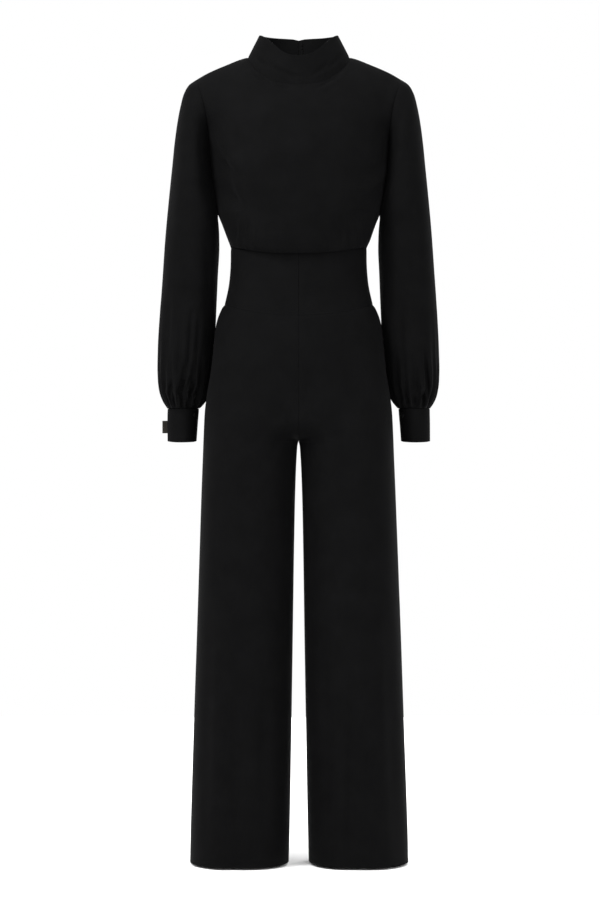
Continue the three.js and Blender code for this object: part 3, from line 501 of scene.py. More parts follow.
# How the cloth lies beside the armhole: how far it stands out (or in, if negative) and how widely
LIE_COLUMNS = ("z", "out", "width")
ARMHOLE_LIE = {
    ("front", -1): (
        (-40, 5, 13), (-62, 8.5, 14), (-84, 10, 14), (-104, 6, 12), (-124, -4, 11), (-150, -14, 13),
        (-188, -20, 15), (-230, -21, 17), (-262, -15, 18), (-288, -4, 13),
    ),
    ("front", 1): (
        (-40, 5, 13), (-62, 8.5, 14), (-84, 10, 14), (-108, 8, 12), (-130, 1, 8), (-148, -9, 5.5),
        (-188, -13, 5), (-230, -13, 5), (-262, -10, 5.5), (-288, -3, 7),
    ),
    ("back", -1): (
        (-40, 4, 12), (-66, 7, 13), (-92, 7, 13), (-120, 0, 10), (-160, -8, 8), (-220, -9, 9),
        (-288, -3, 10),
    ),
    ("back", 1): (
        (-40, 4, 12), (-62, 6.5, 13), (-96, 7, 13), (-126, 0, 9), (-170, -8, 7), (-226, -9, 9),
        (-288, -3, 10),
    ),
}


def laid_by_armhole(grid):
    """Moves the cloth beside an armhole out or in, alike on both sides of its seam."""
    x, y, z = np.moveaxis(grid, -1, 0)
    beside = np.abs(x) - armhole_x(z)
    ridge = shoulder_y(np.minimum(np.abs(x), SHOULDER_X))
    away = y - ridge
    moved = grid.copy()
    for side, _ in SIDES:
        for place, sign in (("front", -1), ("back", 1)):
            out, width = [along(z) for along in curves((LIE_COLUMNS, *ARMHOLE_LIE[(place, side)]))]
            fade = smooth(z, UNDERARM_Z - 30, UNDERARM_Z) * smooth(sign * away, 1, 16)
            near = np.exp(-((beside / width) ** 2)) * (side * x > 0)
            moved[..., 1] += sign * out * fade * near
    return moved


# shells
def unit(steps):
    """Steps brought to length 1."""
    return steps / np.maximum(np.linalg.norm(steps, axis=-1, keepdims=True), 1e-9)


def normals_of(grid, closed):
    """Normals of a grid of points by the steps along its rows and columns."""
    if closed:
        around = np.roll(grid, -1, axis=1) - np.roll(grid, 1, axis=1)
    else:
        around = np.gradient(grid, axis=1)
    return unit(np.cross(around, np.gradient(grid, axis=0)))


def edge_distances(grid, closed):
    """How far each point lies from each edge, along its row or its column."""
    down = np.linalg.norm(np.diff(grid, axis=0), axis=2)
    rows = np.concatenate([np.zeros((1, grid.shape[1])), np.cumsum(down, axis=0)])
    distances = {"first": rows, "last": rows[-1:] - rows}
    if not closed:
        over = np.linalg.norm(np.diff(grid, axis=1), axis=2)
        columns = np.concatenate([np.zeros((grid.shape[0], 1)), np.cumsum(over, axis=1)], axis=1)
        distances.update({"start": columns, "end": columns[:, -1:] - columns})
    return distances


def added(name, data):
    """A new object in the scene."""
    thing = bpy.data.objects.new(name, data)
    bpy.context.scene.collection.objects.link(thing)
    return thing


def add_mesh(name, points, faces):
    mesh = bpy.data.meshes.new(name)
    mesh.from_pydata((points * MM).tolist(), [], faces)
    mesh.validate()
    mesh.polygons.foreach_set("use_smooth", [True] * len(mesh.polygons))
    return added(name, mesh)


def turned(grids, edge, back=False):
    """Grids turned so that the named edge is their first row, or turned back from there."""
    steps = []
    if edge in ("start", "end"):
        steps.append(lambda grid: grid.swapaxes(0, 1))
    if edge in ("last", "end"):
        steps.append(lambda grid: grid[::-1])
    for step in reversed(steps) if back else steps:
        grids = [step(grid) for grid in grids]
    return grids


def with_allowance(outer, normal, depth, edges, lean):
    """Adds the seam allowance that is turned in under the neighbour at the named edges."""
    for edge, length in edges.items():
        outer, normal, depth = turned((outer, normal, depth), edge)
        step = unit((outer[0] - outer[min(3, len(outer) - 1)]) * np.array([lean, 1.0, 1.0]))
        extra = [
            outer[0] - normal[0] * ALLOWANCE_DROP * drop + step * reach * np.reshape(length, (-1, 1))
            for reach, drop in ALLOWANCE_PROFILE
        ]
        outer = np.concatenate([extra, outer])
        normal = np.concatenate([np.repeat(normal[:1], len(extra), axis=0), normal])
        thin = depth[:1] * ALLOWANCE_THINNESS
        depth = np.concatenate([np.repeat(thin, len(extra), axis=0), depth])
        outer, normal, depth = turned((outer, normal, depth), edge, back=True)
    return outer, normal, depth


def shell(
    name, grid, thickness, seams=None, closed=False, flipped=False, folds=None, fold_fade=12, hem=None,
    allowance=None, lean=1.0,
):
    """A closed sheet of cloth: its outer face on the grid with its folds, its inner face a thickness in.

    seams gives each sewn edge the depth that its stitches draw the cloth in, and lean turns the
    allowances further across the object.
    """
    seams = seams or {}
    normal = normals_of(grid, closed) * (-1 if flipped else 1)
    distances = edge_distances(grid, closed)
    lift = np.zeros(grid.shape[:2])
    if folds is not None:
        far = np.full(grid.shape[:2], 1e3)
        for edge in seams:
            far = np.minimum(far, distances[edge])
        lift = folds(grid) * smooth(far, -3, fold_fade)
    for edge, dip in seams.items():
        lift = lift - dip * np.exp(-((distances[edge] / SEAM_REACH) ** 2))
    outer = grid + normal * lift[..., None]
    for edge in seams:
        (lines,) = turned((outer,), edge)
        lines[0] += unit(lines[1] - lines[0]) * SEAM_GAP / 2
    depth = np.full(grid.shape[:2], float(thickness))
    if hem is not None:
        depth = depth + hem(grid)
    if allowance:
        outer, normal, depth = with_allowance(outer, normal, depth, allowance, lean)
    inner = outer - normal * depth[..., None]
    rows, columns = outer.shape[:2]
    points = np.concatenate([outer.reshape(-1, 3), inner.reshape(-1, 3)])
    offset = rows * columns
    ids = np.arange(offset).reshape(rows, columns)
    right = np.roll(ids, -1, axis=1) if closed else ids[:, 1:]
    left = ids if closed else ids[:, :-1]
    quads = np.stack([left[:-1], right[:-1], right[1:], left[1:]], axis=-1).reshape(-1, 4)
    faces = [quads, quads[:, ::-1] + offset]

    def rim(line):
        a, b = line[:-1], line[1:]
        faces.append(np.stack([b, a, a + offset, b + offset], axis=-1))

    ring = (lambda line: np.append(line, line[0])) if closed else (lambda line: line)
    rim(ring(ids[0]))
    rim(ring(ids[-1])[::-1])
    if not closed:
        rim(ids[::-1, 0])
        rim(ids[:, -1])
    faces = np.concatenate(faces)
    if flipped:
        faces = faces[:, ::-1]
    piece = add_mesh(name, points, faces.tolist())
    bevel = piece.modifiers.new("rounded edges", "BEVEL")
    bevel.width = min(thickness, 1.6) * 0.35 * MM
    bevel.segments = 2
    bevel.limit_method = "ANGLE"
    bevel.angle_limit = math.radians(55)
    return piece


# materials
def set_inputs(node, **values):
    for key, value in values.items():
        node.inputs[key.replace("_", " ")].default_value = value


def crepe(name, shade, grain=1.0, roughness=0.8):
    """Matte crepe: pebbled twisted threads over a fine weave, a little uneven in tone."""
    material = bpy.data.materials.new(name)
    material.use_nodes = True
    nodes, links = material.node_tree.nodes, material.node_tree.links

    def made(kind, sources=(), **values):
        """A node with its values set and its inputs linked to the outputs named in sources."""
        node = nodes.new("ShaderNode" + kind)
        for key, value in values.items():
            if hasattr(node, key):
                setattr(node, key, value)
            else:
                set_inputs(node, **{key: value})
        for source, output, key in sources:
            links.new(source.outputs[output], node.inputs[key])
        return node

    place = made("TexCoord")
    stretch = made("Mapping", [(place, "Object", "Vector")], Scale=(1, 1, 0.45))
    pebbles = made(
        "TexNoise", [(stretch, "Vector", "Vector")], Scale=1500 * grain, Detail=3.0, Roughness=0.62
    )
    threads = made(
        "TexWave", [(place, "Object", "Vector")], Scale=900 * grain, Distortion=5.0, Detail=2.0,
        bands_direction="Z",
    )
    relief = made("Mix", [(pebbles, "Fac", "A"), (threads, "Fac", "B")], data_type="FLOAT", Factor=0.35)
    bump = made("Bump", [(relief, "Result", "Height")], Strength=0.55, Distance=0.00022)
    clouds = made("TexNoise", [(place, "Object", "Vector")], Scale=22.0, Detail=4.0, Roughness=0.6)
    speckle = made("Mix", [(clouds, "Fac", "A"), (pebbles, "Fac", "B")], data_type="FLOAT", Factor=0.5)
    ramp = made("ValToRGB", [(speckle, "Result", "Fac")])
    for element, position, strength in zip(ramp.color_ramp.elements, (0.3, 0.72), (0.62, 1.45)):
        element.position = position
        element.color = (*[c * strength for c in shade], 1)
    surface = nodes["Principled BSDF"]
    set_inputs(
        surface, Roughness=roughness, Specular_IOR_Level=0.027, Sheen_Weight=0.0075,
        Sheen_Roughness=0.45, Sheen_Tint=(0.75, 0.75, 0.78, 1),
    )
    links.new(bump.outputs["Normal"], surface.inputs["Normal"])
    links.new(ramp.outputs["Color"], surface.inputs["Base Color"])
    return material


BLACK = (0.0017, 0.0017, 0.0018)
materials = {
    "crepe": crepe("crepe", BLACK),
    "crepe_doubled": crepe("crepe_doubled", BLACK, 0.95, 0.78),
    "covered_button": crepe("covered_button", BLACK, 1.2, 0.7),
    "loop_cord": crepe("loop_cord", BLACK, 1.5, 0.75),
    "ribbon": crepe("ribbon", (0.0128, 0.0117, 0.0098), 0.8, 0.55),
}


def finish_piece(piece, slot, node):
    piece.data.materials.clear()
    piece.data.materials.append(materials[slot])
    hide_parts(node)
    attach(piece, "root")


def panel(node, slot, cut, hangs_from, grid, thickness, seams, **form):
    """Sews one panel: its cloth and its finish."""
    piece = shell(f"{node}_cloth", grid, thickness, seams, **form)
    finish_piece(piece, slot, node)


# folds of each panel
# Each fold: the points that it runs through seen from the front (x, z), its depth and its width
BODICE_FRONT_FOLDS = (
    (((-92, -10), (-78, -25), (-58, -36)), 2.9, 3.5), (((-84, -24), (-74, -38), (-52, -50)), 3.1, 4),
    (((-72, -40), (-60, -52), (-40, -60)), 2.4, 3.5), (((-46, -50), (-34, -60), (-14, -64)), 2.1, 3.5),
    (((88, -14), (74, -28), (58, -38)), 2.8, 3.5), (((78, -30), (64, -44), (44, -52)), 2.8, 4),
    (((60, -46), (46, -57), (28, -64)), 2.1, 3.5), (((-142, -186), (-132, -232), (-112, -290)), 11, 15),
    (((-156, -166), (-136, -204), (-102, -228)), 4.4, 8),
    (((-148, -236), (-128, -262), (-96, -276)), 4.2, 8), (((154, -180), (140, -208), (114, -228)), 4.2, 8),
    (((152, -222), (138, -248), (110, -270)), 4.0, 8),
    (((-160, -120), (-150, -150), (-138, -186)), 1.5, 10),
    (((161, -116), (152, -148), (140, -188)), 1.8, 10),
    (((-116, -296), (-114, -322), (-116, -346)), 3.0, 5),
    (((-102, -308), (-101, -330), (-103, -351)), 2.2, 4), (((-88, -300), (-90, -330), (-88, -353)), 2.7, 5),
    (((-74, -318), (-73, -336), (-74, -356)), 1.3, 4), (((-52, -322), (-52, -340), (-53, -358)), 0.8, 5),
    (((118, -298), (117, -326), (118, -345)), 2.8, 5), (((104, -306), (106, -330), (105, -350)), 2.3, 4),
    (((92, -300), (92, -328), (93, -352)), 2.8, 5), (((78, -318), (79, -336), (79, -355)), 1.2, 4),
    (((48, -324), (49, -342), (49, -359)), 0.8, 5),
)
BODICE_BACK_FOLDS = (
    (((150, -180), (132, -206), (104, -222)), 2.2, 10), (((156, -212), (138, -240), (112, -258)), 2.0, 10),
    (((150, -112), (134, -150), (120, -196)), 1.8, 11), (((70, -10), (66, -30), (58, -52)), 1.0, 6),
    (((118, -300), (116, -322), (118, -344)), 2.0, 5), (((98, -306), (97, -328), (98, -347)), 2.2, 5),
    (((80, -312), (81, -330), (80, -349)), 1.5, 4), (((60, -306), (58, -330), (60, -351)), 1.8, 5),
    (((36, -316), (36, -334), (37, -352)), 1.1, 5),
)


# bodice
BODICE_SPACING = 4.0
BODICE_SWELL = (190, 1.0)
BODICE_SIDE_LEVELS = (-322, -313, -304, -296)


def bodice_allowance(grid):
    """Full beside the shoulder seam, the side and the centre, and next to nothing inside the neck."""
    outward = np.abs(grid[-1, :, 0])
    top = mix(ALLOWANCE_IN_NECK, ALLOWANCE, smooth(outward, NECK_HALF_WIDTH - 1, NECK_HALF_WIDTH + 4))
    return {"last": top, "start": ALLOWANCE, "end": ALLOWANCE}


def bodice_half(is_back, side, share):
    keys = [section(row, share, is_back, TORSO_SQUARENESS, side) for row in rows_of(BLOUSE)]
    levels = list(BODICE_SIDE_LEVELS)
    levels += [float(armhole_level(0.5 + 0.5 * i / 30)) for i in range(31)]
    keys += [bodice_level(level, share, is_back, side) for level in levels]
    return np.array(keys)


share = shares(70, 240, (False, True))
left = bodice_half(False, -1, share)[:, ::-1]
right = bodice_half(False, 1, share)[:, 1:]
grid = laid_by_armhole(loft(np.concatenate([left, right], axis=1), BODICE_SPACING))
panel(
    "bodice_front", "crepe", "bodice_front", ["collar"], grid, CLOTH,
    {"first": 0.3, "last": 0.2, "start": 0.1, "end": 0.1},
    folds=folds_of(BODICE_FRONT_FOLDS, 3, *BODICE_SWELL), allowance=bodice_allowance(grid),
)
back_share = shares(70, 240)
for side, word in SIDES:
    keys = bodice_half(True, side, back_share)[:, ::-1]
    keys[:, -1, 0] = side * CENTRE_GAP
    rows = mirrored(BODICE_BACK_FOLDS, side)
    grid = laid_by_armhole(loft(keys, BODICE_SPACING, 0))
    panel(
        f"bodice_back_{word}", "crepe", "bodice_back", ["collar"], grid, CLOTH,
        {"first": 0.3, "last": 0.2, "start": 0.1, "end": 0.25}, flipped=side < 0,
        folds=folds_of(rows, 7 + side, *BODICE_SWELL), allowance=bodice_allowance(grid),
    )


# collar
def collar_grid(turn):
    is_back = np.cos(turn) < 0
    angle = np.where(is_back, math.pi - np.abs(turn), np.abs(turn))
    x = NECK_HALF_WIDTH * np.sin(angle)
    z = np.where(is_back, neck_back_z(np.degrees(angle)), neck_front_z(np.degrees(angle)))
    y = np.where(is_back, torso_y(x, z, True), torso_y(x, z, False))
    base = stack(np.sign(turn) * x, y, z)
    ahead = np.cos(turn)
    reach = np.where(ahead > 0, COLLAR_TOP_FRONT_Y, COLLAR_TOP_BACK_Y)
    top = stack(
        COLLAR_TOP_HALF_WIDTH * np.sin(turn),
        mix(COLLAR_TOP_SIDE_Y, reach, np.abs(ahead)),
        collar_edge_z(np.degrees(np.abs(turn))),
    )
    rise = np.concatenate([[0, 0.008, 0.02, 0.04], np.linspace(0.07, 0.98, 22), [1.0]])[:, None, None]
    grid = base + (top - base) * rise
    grid[:, 0, 0], grid[:, -1, 0] = -CENTRE_GAP, CENTRE_GAP
    return grid


COLLAR_FOLDS = (
    (((-84, 6), (-70, -12), (-52, -26)), 1.3, 3.5), (((-60, -8), (-46, -24), (-28, -38)), 1.4, 4),
    (((-34, -28), (-16, -40), (6, -44)), 1.6, 4), (((80, 4), (66, -14), (50, -28)), 1.3, 3.5),
    (((56, -12), (42, -28), (24, -40)), 1.3, 4),
)


def collar_folds(grid):
    x, y, z = np.moveaxis(grid, -1, 0)
    front = creases(x, z, COLLAR_FOLDS) * (y < 0)
    return waviness(x, y, z, 5, 90, 0.5) + front


turn = (shares(220, 520) - 0.5) * 2 * math.pi
panel(
    "collar", "crepe_doubled", "collar", [], collar_grid(turn), COLLAR_CLOTH,
    {"first": 0.2, "start": 0.1, "end": 0.1}, folds=collar_folds,
    allowance={"first": ALLOWANCE, "start": ALLOWANCE},
)

# sleeves
SLEEVE_SPACING = 3.6
SLEEVE_COLUMNS = 176


def sleeve_grid():
    turn = np.arange(SLEEVE_COLUMNS) / SLEEVE_COLUMNS
    rows = rows_of(SLEEVE)
    armhole = armhole_ring(turn)
    first = sleeve_ring(rows[0], turn)
    keys = []
    for i, row in enumerate(rows):
        share = max(1 - i / ARMHOLE_BLEND_RINGS, 0)
        keys.append(sleeve_ring(row, turn) + (armhole - first) * share)
    return loft(keys, SLEEVE_SPACING, 0), turn


# Long folds of a sleeve seen from the front, for the photo-left one and the photo-right one
SLEEVE_FRONT_FOLDS = {
    "left": (
        (((-236, -430), (-240, -520), (-238, -600)), 4.2, 7),
        (((-194, -470), (-199, -554), (-208, -586), (-217, -612)), 5.6, 5),
        (((-214, -500), (-219, -560), (-224, -618)), 2.2, 5),
        (((-180, -470), (-184, -560), (-190, -606)), 4.0, 6),
        (((-166, -330), (-163, -420), (-166, -540)), 2.8, 8),
        (((-205, -250), (-208, -350), (-205, -450)), 2.0, 12),
        (((-226, -180), (-232, -280), (-234, -380)), 1.6, 10),
        (((-246, -470), (-248, -540), (-246, -600)), 1.8, 7),
        (((-219, -606), (-222, -622), (-221, -639)), 4.4, 2.6),
        (((-208, -590), (-215, -616), (-213, -639)), 5.2, 2.8),
        (((-197, -588), (-206, -612), (-203, -639)), 5.4, 2.8),
        (((-189, -592), (-199, -614), (-195, -639)), 5.0, 2.8),
        (((-181, -602), (-191, -622), (-187, -639)), 4.4, 2.6),
        (((-232, -596), (-236, -618), (-231, -639)), 4.2, 2.8),
        (((-226, -612), (-228, -626), (-226, -640)), 3.4, 2.4),
    ),
    "right": (
        (((231, -540), (234, -575), (235, -594), (236, -626)), 6.4, 3.6),
        (((215, -570), (213, -602), (221, -620), (214, -636)), 5.4, 6.5),
        (((186, -420), (182, -540), (184, -612)), 5.0, 10),
        (((199, -540), (202, -590), (206, -632)), 1.6, 5),
        (((164, -300), (160, -380), (164, -480)), 2.6, 9),
        (((206, -200), (212, -310), (210, -430)), 1.8, 12),
        (((246, -480), (249, -540), (246, -606)), 1.6, 7),
        (((182, -604), (188, -622), (187, -639)), 3.8, 2.8),
        (((195, -612), (199, -626), (198, -640)), 3.6, 2.6),
        (((207, -614), (210, -628), (208, -640)), 3.4, 2.6),
        (((226, -608), (229, -626), (227, -639)), 4.0, 2.6),
    ),
}
SLEEVE_BACK_FOLDS = (
    (((228, -430), (232, -520), (226, -610)), 2.8, 7), (((208, -460), (206, -540), (208, -615)), 2.6, 7),
    (((184, -440), (182, -530), (190, -610)), 2.4, 7), (((176, -130), (174, -200), (168, -290)), 3.0, 9),
    (((212, -200), (216, -300), (212, -400)), 2.0, 12), (((172, -310), (168, -390), (170, -470)), 2.2, 9),
    (((236, -270), (240, -340), (240, -420)), 1.6, 9), (((232, -604), (234, -622), (230, -639)), 4.0, 2.8),
    (((219, -598), (223, -618), (220, -639)), 4.6, 2.8),
    (((206, -606), (204, -622), (206, -639)), 4.0, 2.6),
    (((192, -600), (198, -620), (195, -639)), 4.4, 2.8),
)


def sleeve_folds(side, word, turn):
    """A sleeve's folds, in front and behind, as they lie with its outer edge towards +X."""
    front = (turn < 0.5)[None, :]
    edge = np.minimum(np.abs(np.mod(turn, 0.5)), 0.5 - np.mod(turn, 0.5))
    near = smooth(edge, 0, 0.045)[None, :]
    rows = mirrored(SLEEVE_FRONT_FOLDS[word], side)

    def at(grid):
        x, y, z = np.moveaxis(grid * np.array([side, 1, 1]), -1, 0)
        ahead = creases(x, z, rows)
        behind = creases(x, z, SLEEVE_BACK_FOLDS)
        return np.where(front, ahead, behind) * near + waviness(x, y, z, 11 + side, 150, 1.0)

    return at


sleeve, sleeve_turn = sleeve_grid()
for side, word in SIDES:
    grid = laid_by_armhole(sleeve * np.array([side, 1, 1]))
    panel(
        f"sleeve_{word}", "crepe", "sleeve", ["bodice_front"], grid, CLOTH, {"first": 0.1, "last": 0.1},
        closed=True, flipped=side < 0, folds=sleeve_folds(side, word, sleeve_turn), fold_fade=7,
        allowance={"first": ALLOWANCE}, lean=3.0,
    )


# cuffs
CUFF_COLUMNS = 171


def cuff_grid():
    travel = (1 + CUFF_LAP) * np.linspace(0, 1, CUFF_COLUMNS)
    angle = 2 * math.pi * (CUFF_LAP_START + travel)
    climb = smooth(travel, 1 - 2 * CUFF_LAP, 1 - CUFF_LAP / 4) * CUFF_LAP_RISE
    rows = []
    for down in np.concatenate([[0, 0.012, 0.03], np.linspace(0.06, 0.97, 18), [1.0]]):
        half = (cuff_out_x(down) - cuff_in_x(down)) / 2
        centre = (cuff_out_x(down) + cuff_in_x(down)) / 2
        rows.append(
            stack(
                centre + (half + climb) * np.cos(angle),
                CUFF_Y - (CUFF_HALF_DEPTH + climb) * np.sin(angle),
                mix(CUFF_TOP_Z, CUFF_BOTTOM_Z, down) - CUFF_FRONT_DIP * down * np.sin(angle),
            )
        )
    return np.array(rows)


cuff = cuff_grid()
for side, word in SIDES:
    panel(
        f"cuff_{word}", "crepe_doubled", "cuff", [f"sleeve_{word}"], cuff * np.array([side, 1, 1]),
        BAND_CLOTH, {"first": 0.15}, flipped=side < 0, folds=folds_of((), 2, 60, 0.35),
        allowance={"first": ALLOWANCE},
    )

# waistband
BAND_SPACING = 3.5

band_share = shares(60, 190)
for side, word in SIDES:
    for is_back, place in ((False, "front"), (True, "back")):
        rows = rows_of(WAISTBAND)
        keys = np.array([section(row, band_share, is_back, BAND_SQUARENESS, side) for row in rows])
        keys[:, 0, 0] = side * CENTRE_GAP
        if not is_back:
            keys = keys[:, ::-1]
        grid = loft(keys, BAND_SPACING, -1 if is_back else 0)
        above = f"bodice_back_{word}" if is_back else "bodice_front"
        panel(
            f"waistband_{place}_{word}", "crepe_doubled", f"waistband_{place}", [above], grid,
            BAND_CLOTH, {"first": 0.3, "last": 0.35, "start": 0.06, "end": 0.06},
            flipped=side < 0, folds=folds_of((), 21, 120, 0.6),
            allowance={"first": ALLOWANCE, "start": ALLOWANCE, "end": ALLOWANCE},
        )

# trousers
TROUSER_FOLDS = {
    ("front", "left"): (
        (((-110, -1160), (-113, -1320), (-112, -1466)), 3.8, 10),
        (((-60, -1120), (-62, -1280), (-58, -1462)), 2.6, 12),
        (((-158, -1000), (-164, -1200), (-170, -1460)), 3.0, 12),
        (((-24, -640), (-60, -680), (-92, -716)), 1.6, 10),
        (((-12, -668), (-34, -700), (-52, -740)), 1.8, 8),
        (((-130, -520), (-134, -640), (-138, -800)), 1.2, 16),
    ),
    ("front", "right"): (
        (((98, -1130), (96, -1300), (92, -1466)), 4.6, 10),
        (((46, -1040), (50, -1240), (52, -1462)), 2.8, 12),
        (((160, -1020), (168, -1220), (176, -1462)), 3.0, 12),
        (((20, -642), (54, -676), (84, -706)), 1.4, 10), (((14, -672), (36, -706), (56, -750)), 1.8, 8),
        (((132, -540), (138, -680), (142, -840)), 1.2, 16),
    ),
    ("back", "left"): (
        (((-14, -690), (-50, -724), (-96, -742)), 2.4, 11),
        (((-20, -720), (-58, -762), (-104, -786)), 1.8, 12),
        (((-70, -900), (-72, -1150), (-66, -1460)), 2.2, 13),
        (((-130, -820), (-136, -1100), (-144, -1460)), 2.0, 14),
    ),
    ("back", "right"): (
        (((16, -694), (54, -722), (98, -736)), 2.2, 11), (((22, -726), (60, -770), (110, -798)), 1.8, 12),
        (((66, -920), (70, -1180), (64, -1460)), 2.2, 13),
        (((128, -800), (138, -1080), (148, -1460)), 2.0, 14),
    ),
}

HIP_SEAM_LEVELS = (-453.5, -455, -457, -460)
HIP_SPACING = 4.2
CROTCH_ROWS = 30
LEG_ROWS = 150
TROUSER_SWELL = (260, 1.2)


def trouser_grid(is_back, side, share):
    rows = [hip_level(z, share, is_back) for z in HIP_SEAM_LEVELS]
    rows += [hip_level(z, share, is_back) for z in np.arange(-464.0, CROTCH_TOP_Z, -HIP_SPACING)]
    downs = [math.sin(math.pi / 2 * i / CROTCH_ROWS) for i in range(CROTCH_ROWS)]
    rows += [crotch_level(share_down, share, is_back) for share_down in downs]
    rows += [leg_level(z, share, is_back) for z in np.linspace(CROTCH_Z, HEM_Z, LEG_ROWS)]
    grid = np.array(rows)
    grid[..., 0] = side * np.maximum(grid[..., 0], CENTRE_GAP)
    return grid if is_back else grid[:, ::-1]


def trouser_allowance(grid, is_back):
    """Full along the seams, and clipped short where the centre seam turns under at the crotch."""
    z = grid[:, 0 if is_back else -1, 2]
    clipped = smooth(z, CROTCH_Z - 26, CROTCH_Z - 6) * (1 - smooth(z, CROTCH_Z + 20, CROTCH_Z + 46))
    centre = mix(ALLOWANCE, ALLOWANCE_CLIPPED, clipped)
    centre = np.concatenate([np.full(len(ALLOWANCE_PROFILE), ALLOWANCE), centre])
    if is_back:
        return {"first": ALLOWANCE, "start": centre, "end": ALLOWANCE}
    return {"first": ALLOWANCE, "start": ALLOWANCE, "end": centre}


trouser_share = shares(72, 270)
for side, word in SIDES:
    for is_back, place in ((False, "front"), (True, "back")):
        folds = folds_of(TROUSER_FOLDS[(place, word)], 31 + side, *TROUSER_SWELL)
        grid = trouser_grid(is_back, side, trouser_share)
        panel(
            f"trouser_{place}_{word}", "crepe", f"trouser_{place}", [f"waistband_{place}_{word}"],
            grid, CLOTH, {"first": 0.35, "start": 0.06, "end": 0.06}, flipped=side < 0,
            folds=folds, allowance=trouser_allowance(grid, is_back),
            hem=lambda grid: HEM_TURN * smooth(HEM_Z + HEM_RISE - grid[..., 2], -1, 1),
        )


# buttons, loops and the tab
def ring_faces(first, rings, around):
    """Quads between rings of points that follow each other from a first point on."""
    faces = []
    for start in range(first, first + (rings - 1) * around, around):
        for k in range(around):
            a, b = start + k, start + (k + 1) % around
            faces.append((a, b, b + around, a + around))
    return faces


def collar_back_y(x, z):
    low = float(torso_y(0.0, float(neck_back_z(0)), True))
    share = (z - float(neck_back_z(0))) / (float(collar_edge_z(180)) - float(neck_back_z(0)))
    return mix(low, COLLAR_TOP_BACK_Y, share) - x * x / (2 * COLLAR_TOP_HALF_WIDTH)


def covered_button(name, centre, outward=(0, 1, 0)):
    """A domed button with its cloth drawn in to small tucks under its edge."""
    radius = BUTTON_RADIUS
    profile = [(0.0, 0.0), (0.76 * radius, 0.0), (0.9 * radius, 0.35), (0.98 * radius, 0.8)]
    profile.append((radius, BUTTON_RIM))
    dome = BUTTON_HEIGHT - BUTTON_RIM
    profile += [(radius * math.cos(a), BUTTON_RIM + dome * math.sin(a)) for a in np.linspace(0.16, 1.45, 9)]
    around = 48
    points = [(0.0, 0.0, 0.0)]
    for radius, height in profile[1:]:
        for k in range(around):
            angle = 2 * math.pi * k / around
            tuck = 1 - 0.02 * math.exp(-height) * (1 + math.cos(angle * 14))
            points.append((radius * tuck * math.cos(angle), height, radius * tuck * math.sin(angle)))
    points.append((0.0, BUTTON_HEIGHT, 0.0))
    faces = [(0, 1 + (k + 1) % around, 1 + k) for k in range(around)]
    faces += ring_faces(1, len(profile) - 1, around)
    top = len(points) - 1
    a = 1 + (len(profile) - 2) * around
    faces += [(a + k, a + (k + 1) % around, top) for k in range(around)]
    ahead = unit(np.array(outward, float))
    up = np.array([0.0, 0.0, 1.0])
    places = np.array(points) @ np.array([np.cross(ahead, up), ahead, up])
    return add_mesh(name, places + np.array(centre), faces)


def tube(name, route, radius, sides=16):
    """A round cord along a route, closed at both ends."""
    route = np.array(route, float)
    forward = unit(np.gradient(route, axis=0))
    out = np.array([0.0, 1.0, 0.0])
    points = []
    for place, ahead in zip(route, forward):
        across = unit(np.cross(ahead, out))
        up = np.cross(across, ahead)
        for k in range(sides):
            angle = 2 * math.pi * k / sides
            points.append(place + radius * (across * math.cos(angle) + up * math.sin(angle)))
    faces = ring_faces(0, len(route), sides)
    faces.append(tuple(reversed(range(sides))))
    faces.append(tuple(range((len(route) - 1) * sides, len(route) * sides)))
    return add_mesh(name, np.array(points), faces)


for i, z in enumerate(COLLAR_BUTTON_LEVELS, 1):
    centre = (BUTTON_X, collar_back_y(0, z + BUTTON_RADIUS) + BUTTON_LIFT, z)
    finish_piece(covered_button(f"collar_button_{i}_cloth", centre), "covered_button", f"collar_button_{i}")
    ring = BUTTON_RADIUS + LOOP_RADIUS + BUTTON_LIFT
    corners = [(-LOOP_REACH, z + ring * LOOP_SPREAD)]
    bend = np.linspace(math.pi / 2, -math.pi / 2, 7)
    corners += [(BUTTON_X + ring * math.cos(a), z + ring * math.sin(a)) for a in bend]
    corners += [(-LOOP_REACH, z - ring * LOOP_SPREAD)]
    keys = [[(x, collar_back_y(x, height) + LOOP_RADIUS + LOOP_LIFT, height)] for x, height in corners]
    cord = tube(f"collar_loop_{i}_cord", loft(keys, 0.5)[:, 0], LOOP_RADIUS)
    finish_piece(cord, "loop_cord", f"collar_loop_{i}")

for side, word in SIDES:
    out_x, in_x = float(cuff_out_x(CUFF_BUTTON_SHARE)), float(cuff_in_x(CUFF_BUTTON_SHARE))
    angle = 2 * math.pi * CUFF_BUTTON_TURN
    half_width = (out_x - in_x) / 2 + CUFF_LAP_RISE + 2 * BUTTON_LIFT
    half_depth = CUFF_HALF_DEPTH + CUFF_LAP_RISE + 2 * BUTTON_LIFT
    centre = (
        side * ((out_x + in_x) / 2 + half_width * math.cos(angle)),
        CUFF_Y - half_depth * math.sin(angle),
        mix(CUFF_TOP_Z, CUFF_BOTTOM_Z, CUFF_BUTTON_SHARE),
    )
    outward = (side * half_depth * math.cos(angle), -half_width * math.sin(angle), 0)
    button = covered_button(f"cuff_button_{word}_cloth", centre, outward)
    finish_piece(button, "covered_button", f"cuff_button_{word}")


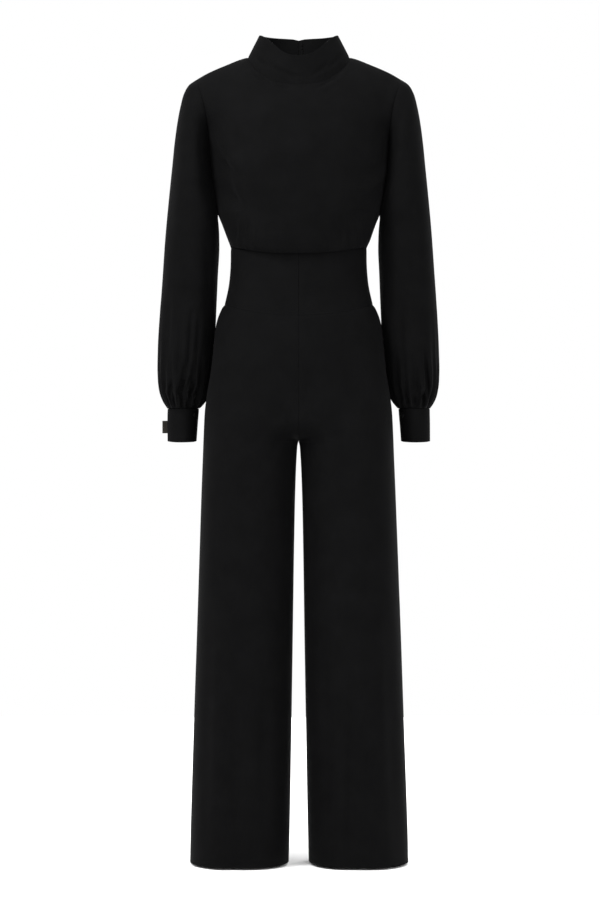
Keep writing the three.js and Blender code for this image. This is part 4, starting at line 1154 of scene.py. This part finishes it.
def tab():
    """A blank ribbon folded double, a little bowed, with its fold outwards."""
    start = -float(cuff_out_x(0.5)) + TAB_SEWN_IN
    reach = TAB_WIDTH + TAB_SEWN_IN
    route = [(0, 0.7), (-0.35 * reach, 0.75), (-0.72 * reach, 0.8), (-reach + 0.7, 0.6), (-reach, 0)]
    route += [(x, -y) for x, y in reversed(route[:-1])]
    heights = np.linspace(-TAB_HEIGHT / 2, TAB_HEIGHT / 2, 24)
    keys = [[(start + x, CUFF_Y + y, TAB_CENTRE_Z + h) for h in heights] for x, y in route]
    return shell("cuff_tab_cloth", loft(keys, 0.6), TAB_CLOTH)


finish_piece(tab(), "ribbon", "cuff_tab")

# bar tacks that hold the loops and the facing, inside the collar's centre back
for k, z in enumerate(TACK_LEVELS, 1):
    depth = collar_back_y(0, z) - COLLAR_CLOTH - 0.5
    slant = 0.6 * math.sin(2.7 * k)
    route = [
        (TACK_LENGTH * (i / 8 - 0.5), depth - 0.3 * math.sin(math.pi * i / 8), z + slant * (i / 8 - 0.5))
        for i in range(9)
    ]
    finish_piece(tube(f"collar_tack_{k}", route, TACK_RADIUS, 8), "loop_cord", "collar")

# floor, light and camera
FLOOR_Z = -1474
WHITE = bpy.data.materials.new("studio_white")
WHITE.use_nodes = True
white_surface = WHITE.node_tree.nodes["Principled BSDF"]
set_inputs(white_surface, Base_Color=(0.93, 0.93, 0.93, 1), Roughness=0.9, Specular_IOR_Level=0.1)


def studio_floor():
    corners = [(x, y, FLOOR_Z) for x, y in ((-3400, -3400), (3400, -3400), (3400, 3000), (-3400, 3000))]
    floor = add_mesh("studio_floor", np.array(corners), [(0, 1, 2, 3)])
    floor.data.materials.append(WHITE)


def area_light(name, place, target, size, energy):
    light = bpy.data.lights.new(name, "AREA")
    light.shape = "RECTANGLE"
    light.size, light.size_y = size
    light.energy = energy
    lamp = added(name, light)
    lamp.location = place
    lamp.rotation_euler = (Vector(target) - Vector(place)).to_track_quat("-Z", "Y").to_euler()
    return lamp


studio_floor()
area_light("key", (-2.6, -3.2, 1.6), (0, 0, -0.6), (1.6, 2.2), 140)
area_light("fill", (3.0, -3.4, 0.4), (0, 0, -0.8), (1.6, 2.4), 86)
area_light("front", (0.2, -5.2, -0.3), (0, 0, -0.75), (2.6, 2.6), 62)
area_light("top", (0, -0.2, 2.4), (0, 0, -0.7), (2.4, 1.6), 32)
area_light("shoulder", (-1.7, -1.4, 1.9), (-0.15, 0, -0.05), (0.8, 0.8), 80)
# lights the back, and puts no sheen on the outline seen from the front
behind = area_light("behind", (1.6, 4.0, 0.8), (0, 0, -0.7), (2.2, 2.2), 190)
behind.visible_glossy = False
world = bpy.data.worlds.new("studio")
world.use_nodes = True
set_inputs(world.node_tree.nodes["Background"], Color=(1, 1, 1, 1), Strength=1.0)

scene = bpy.context.scene
scene.world = world
scene.view_settings.view_transform = "Standard"
camera_data = bpy.data.cameras.new("camera")
camera_data.sensor_fit = "VERTICAL"
camera_data.sensor_height = 36
camera_data.lens = 120.2
scene.camera = added("camera", camera_data)
scene.camera.location = (0.0023, -5.5, -0.7183)
scene.camera.rotation_euler = (math.pi / 2, 0, 0)
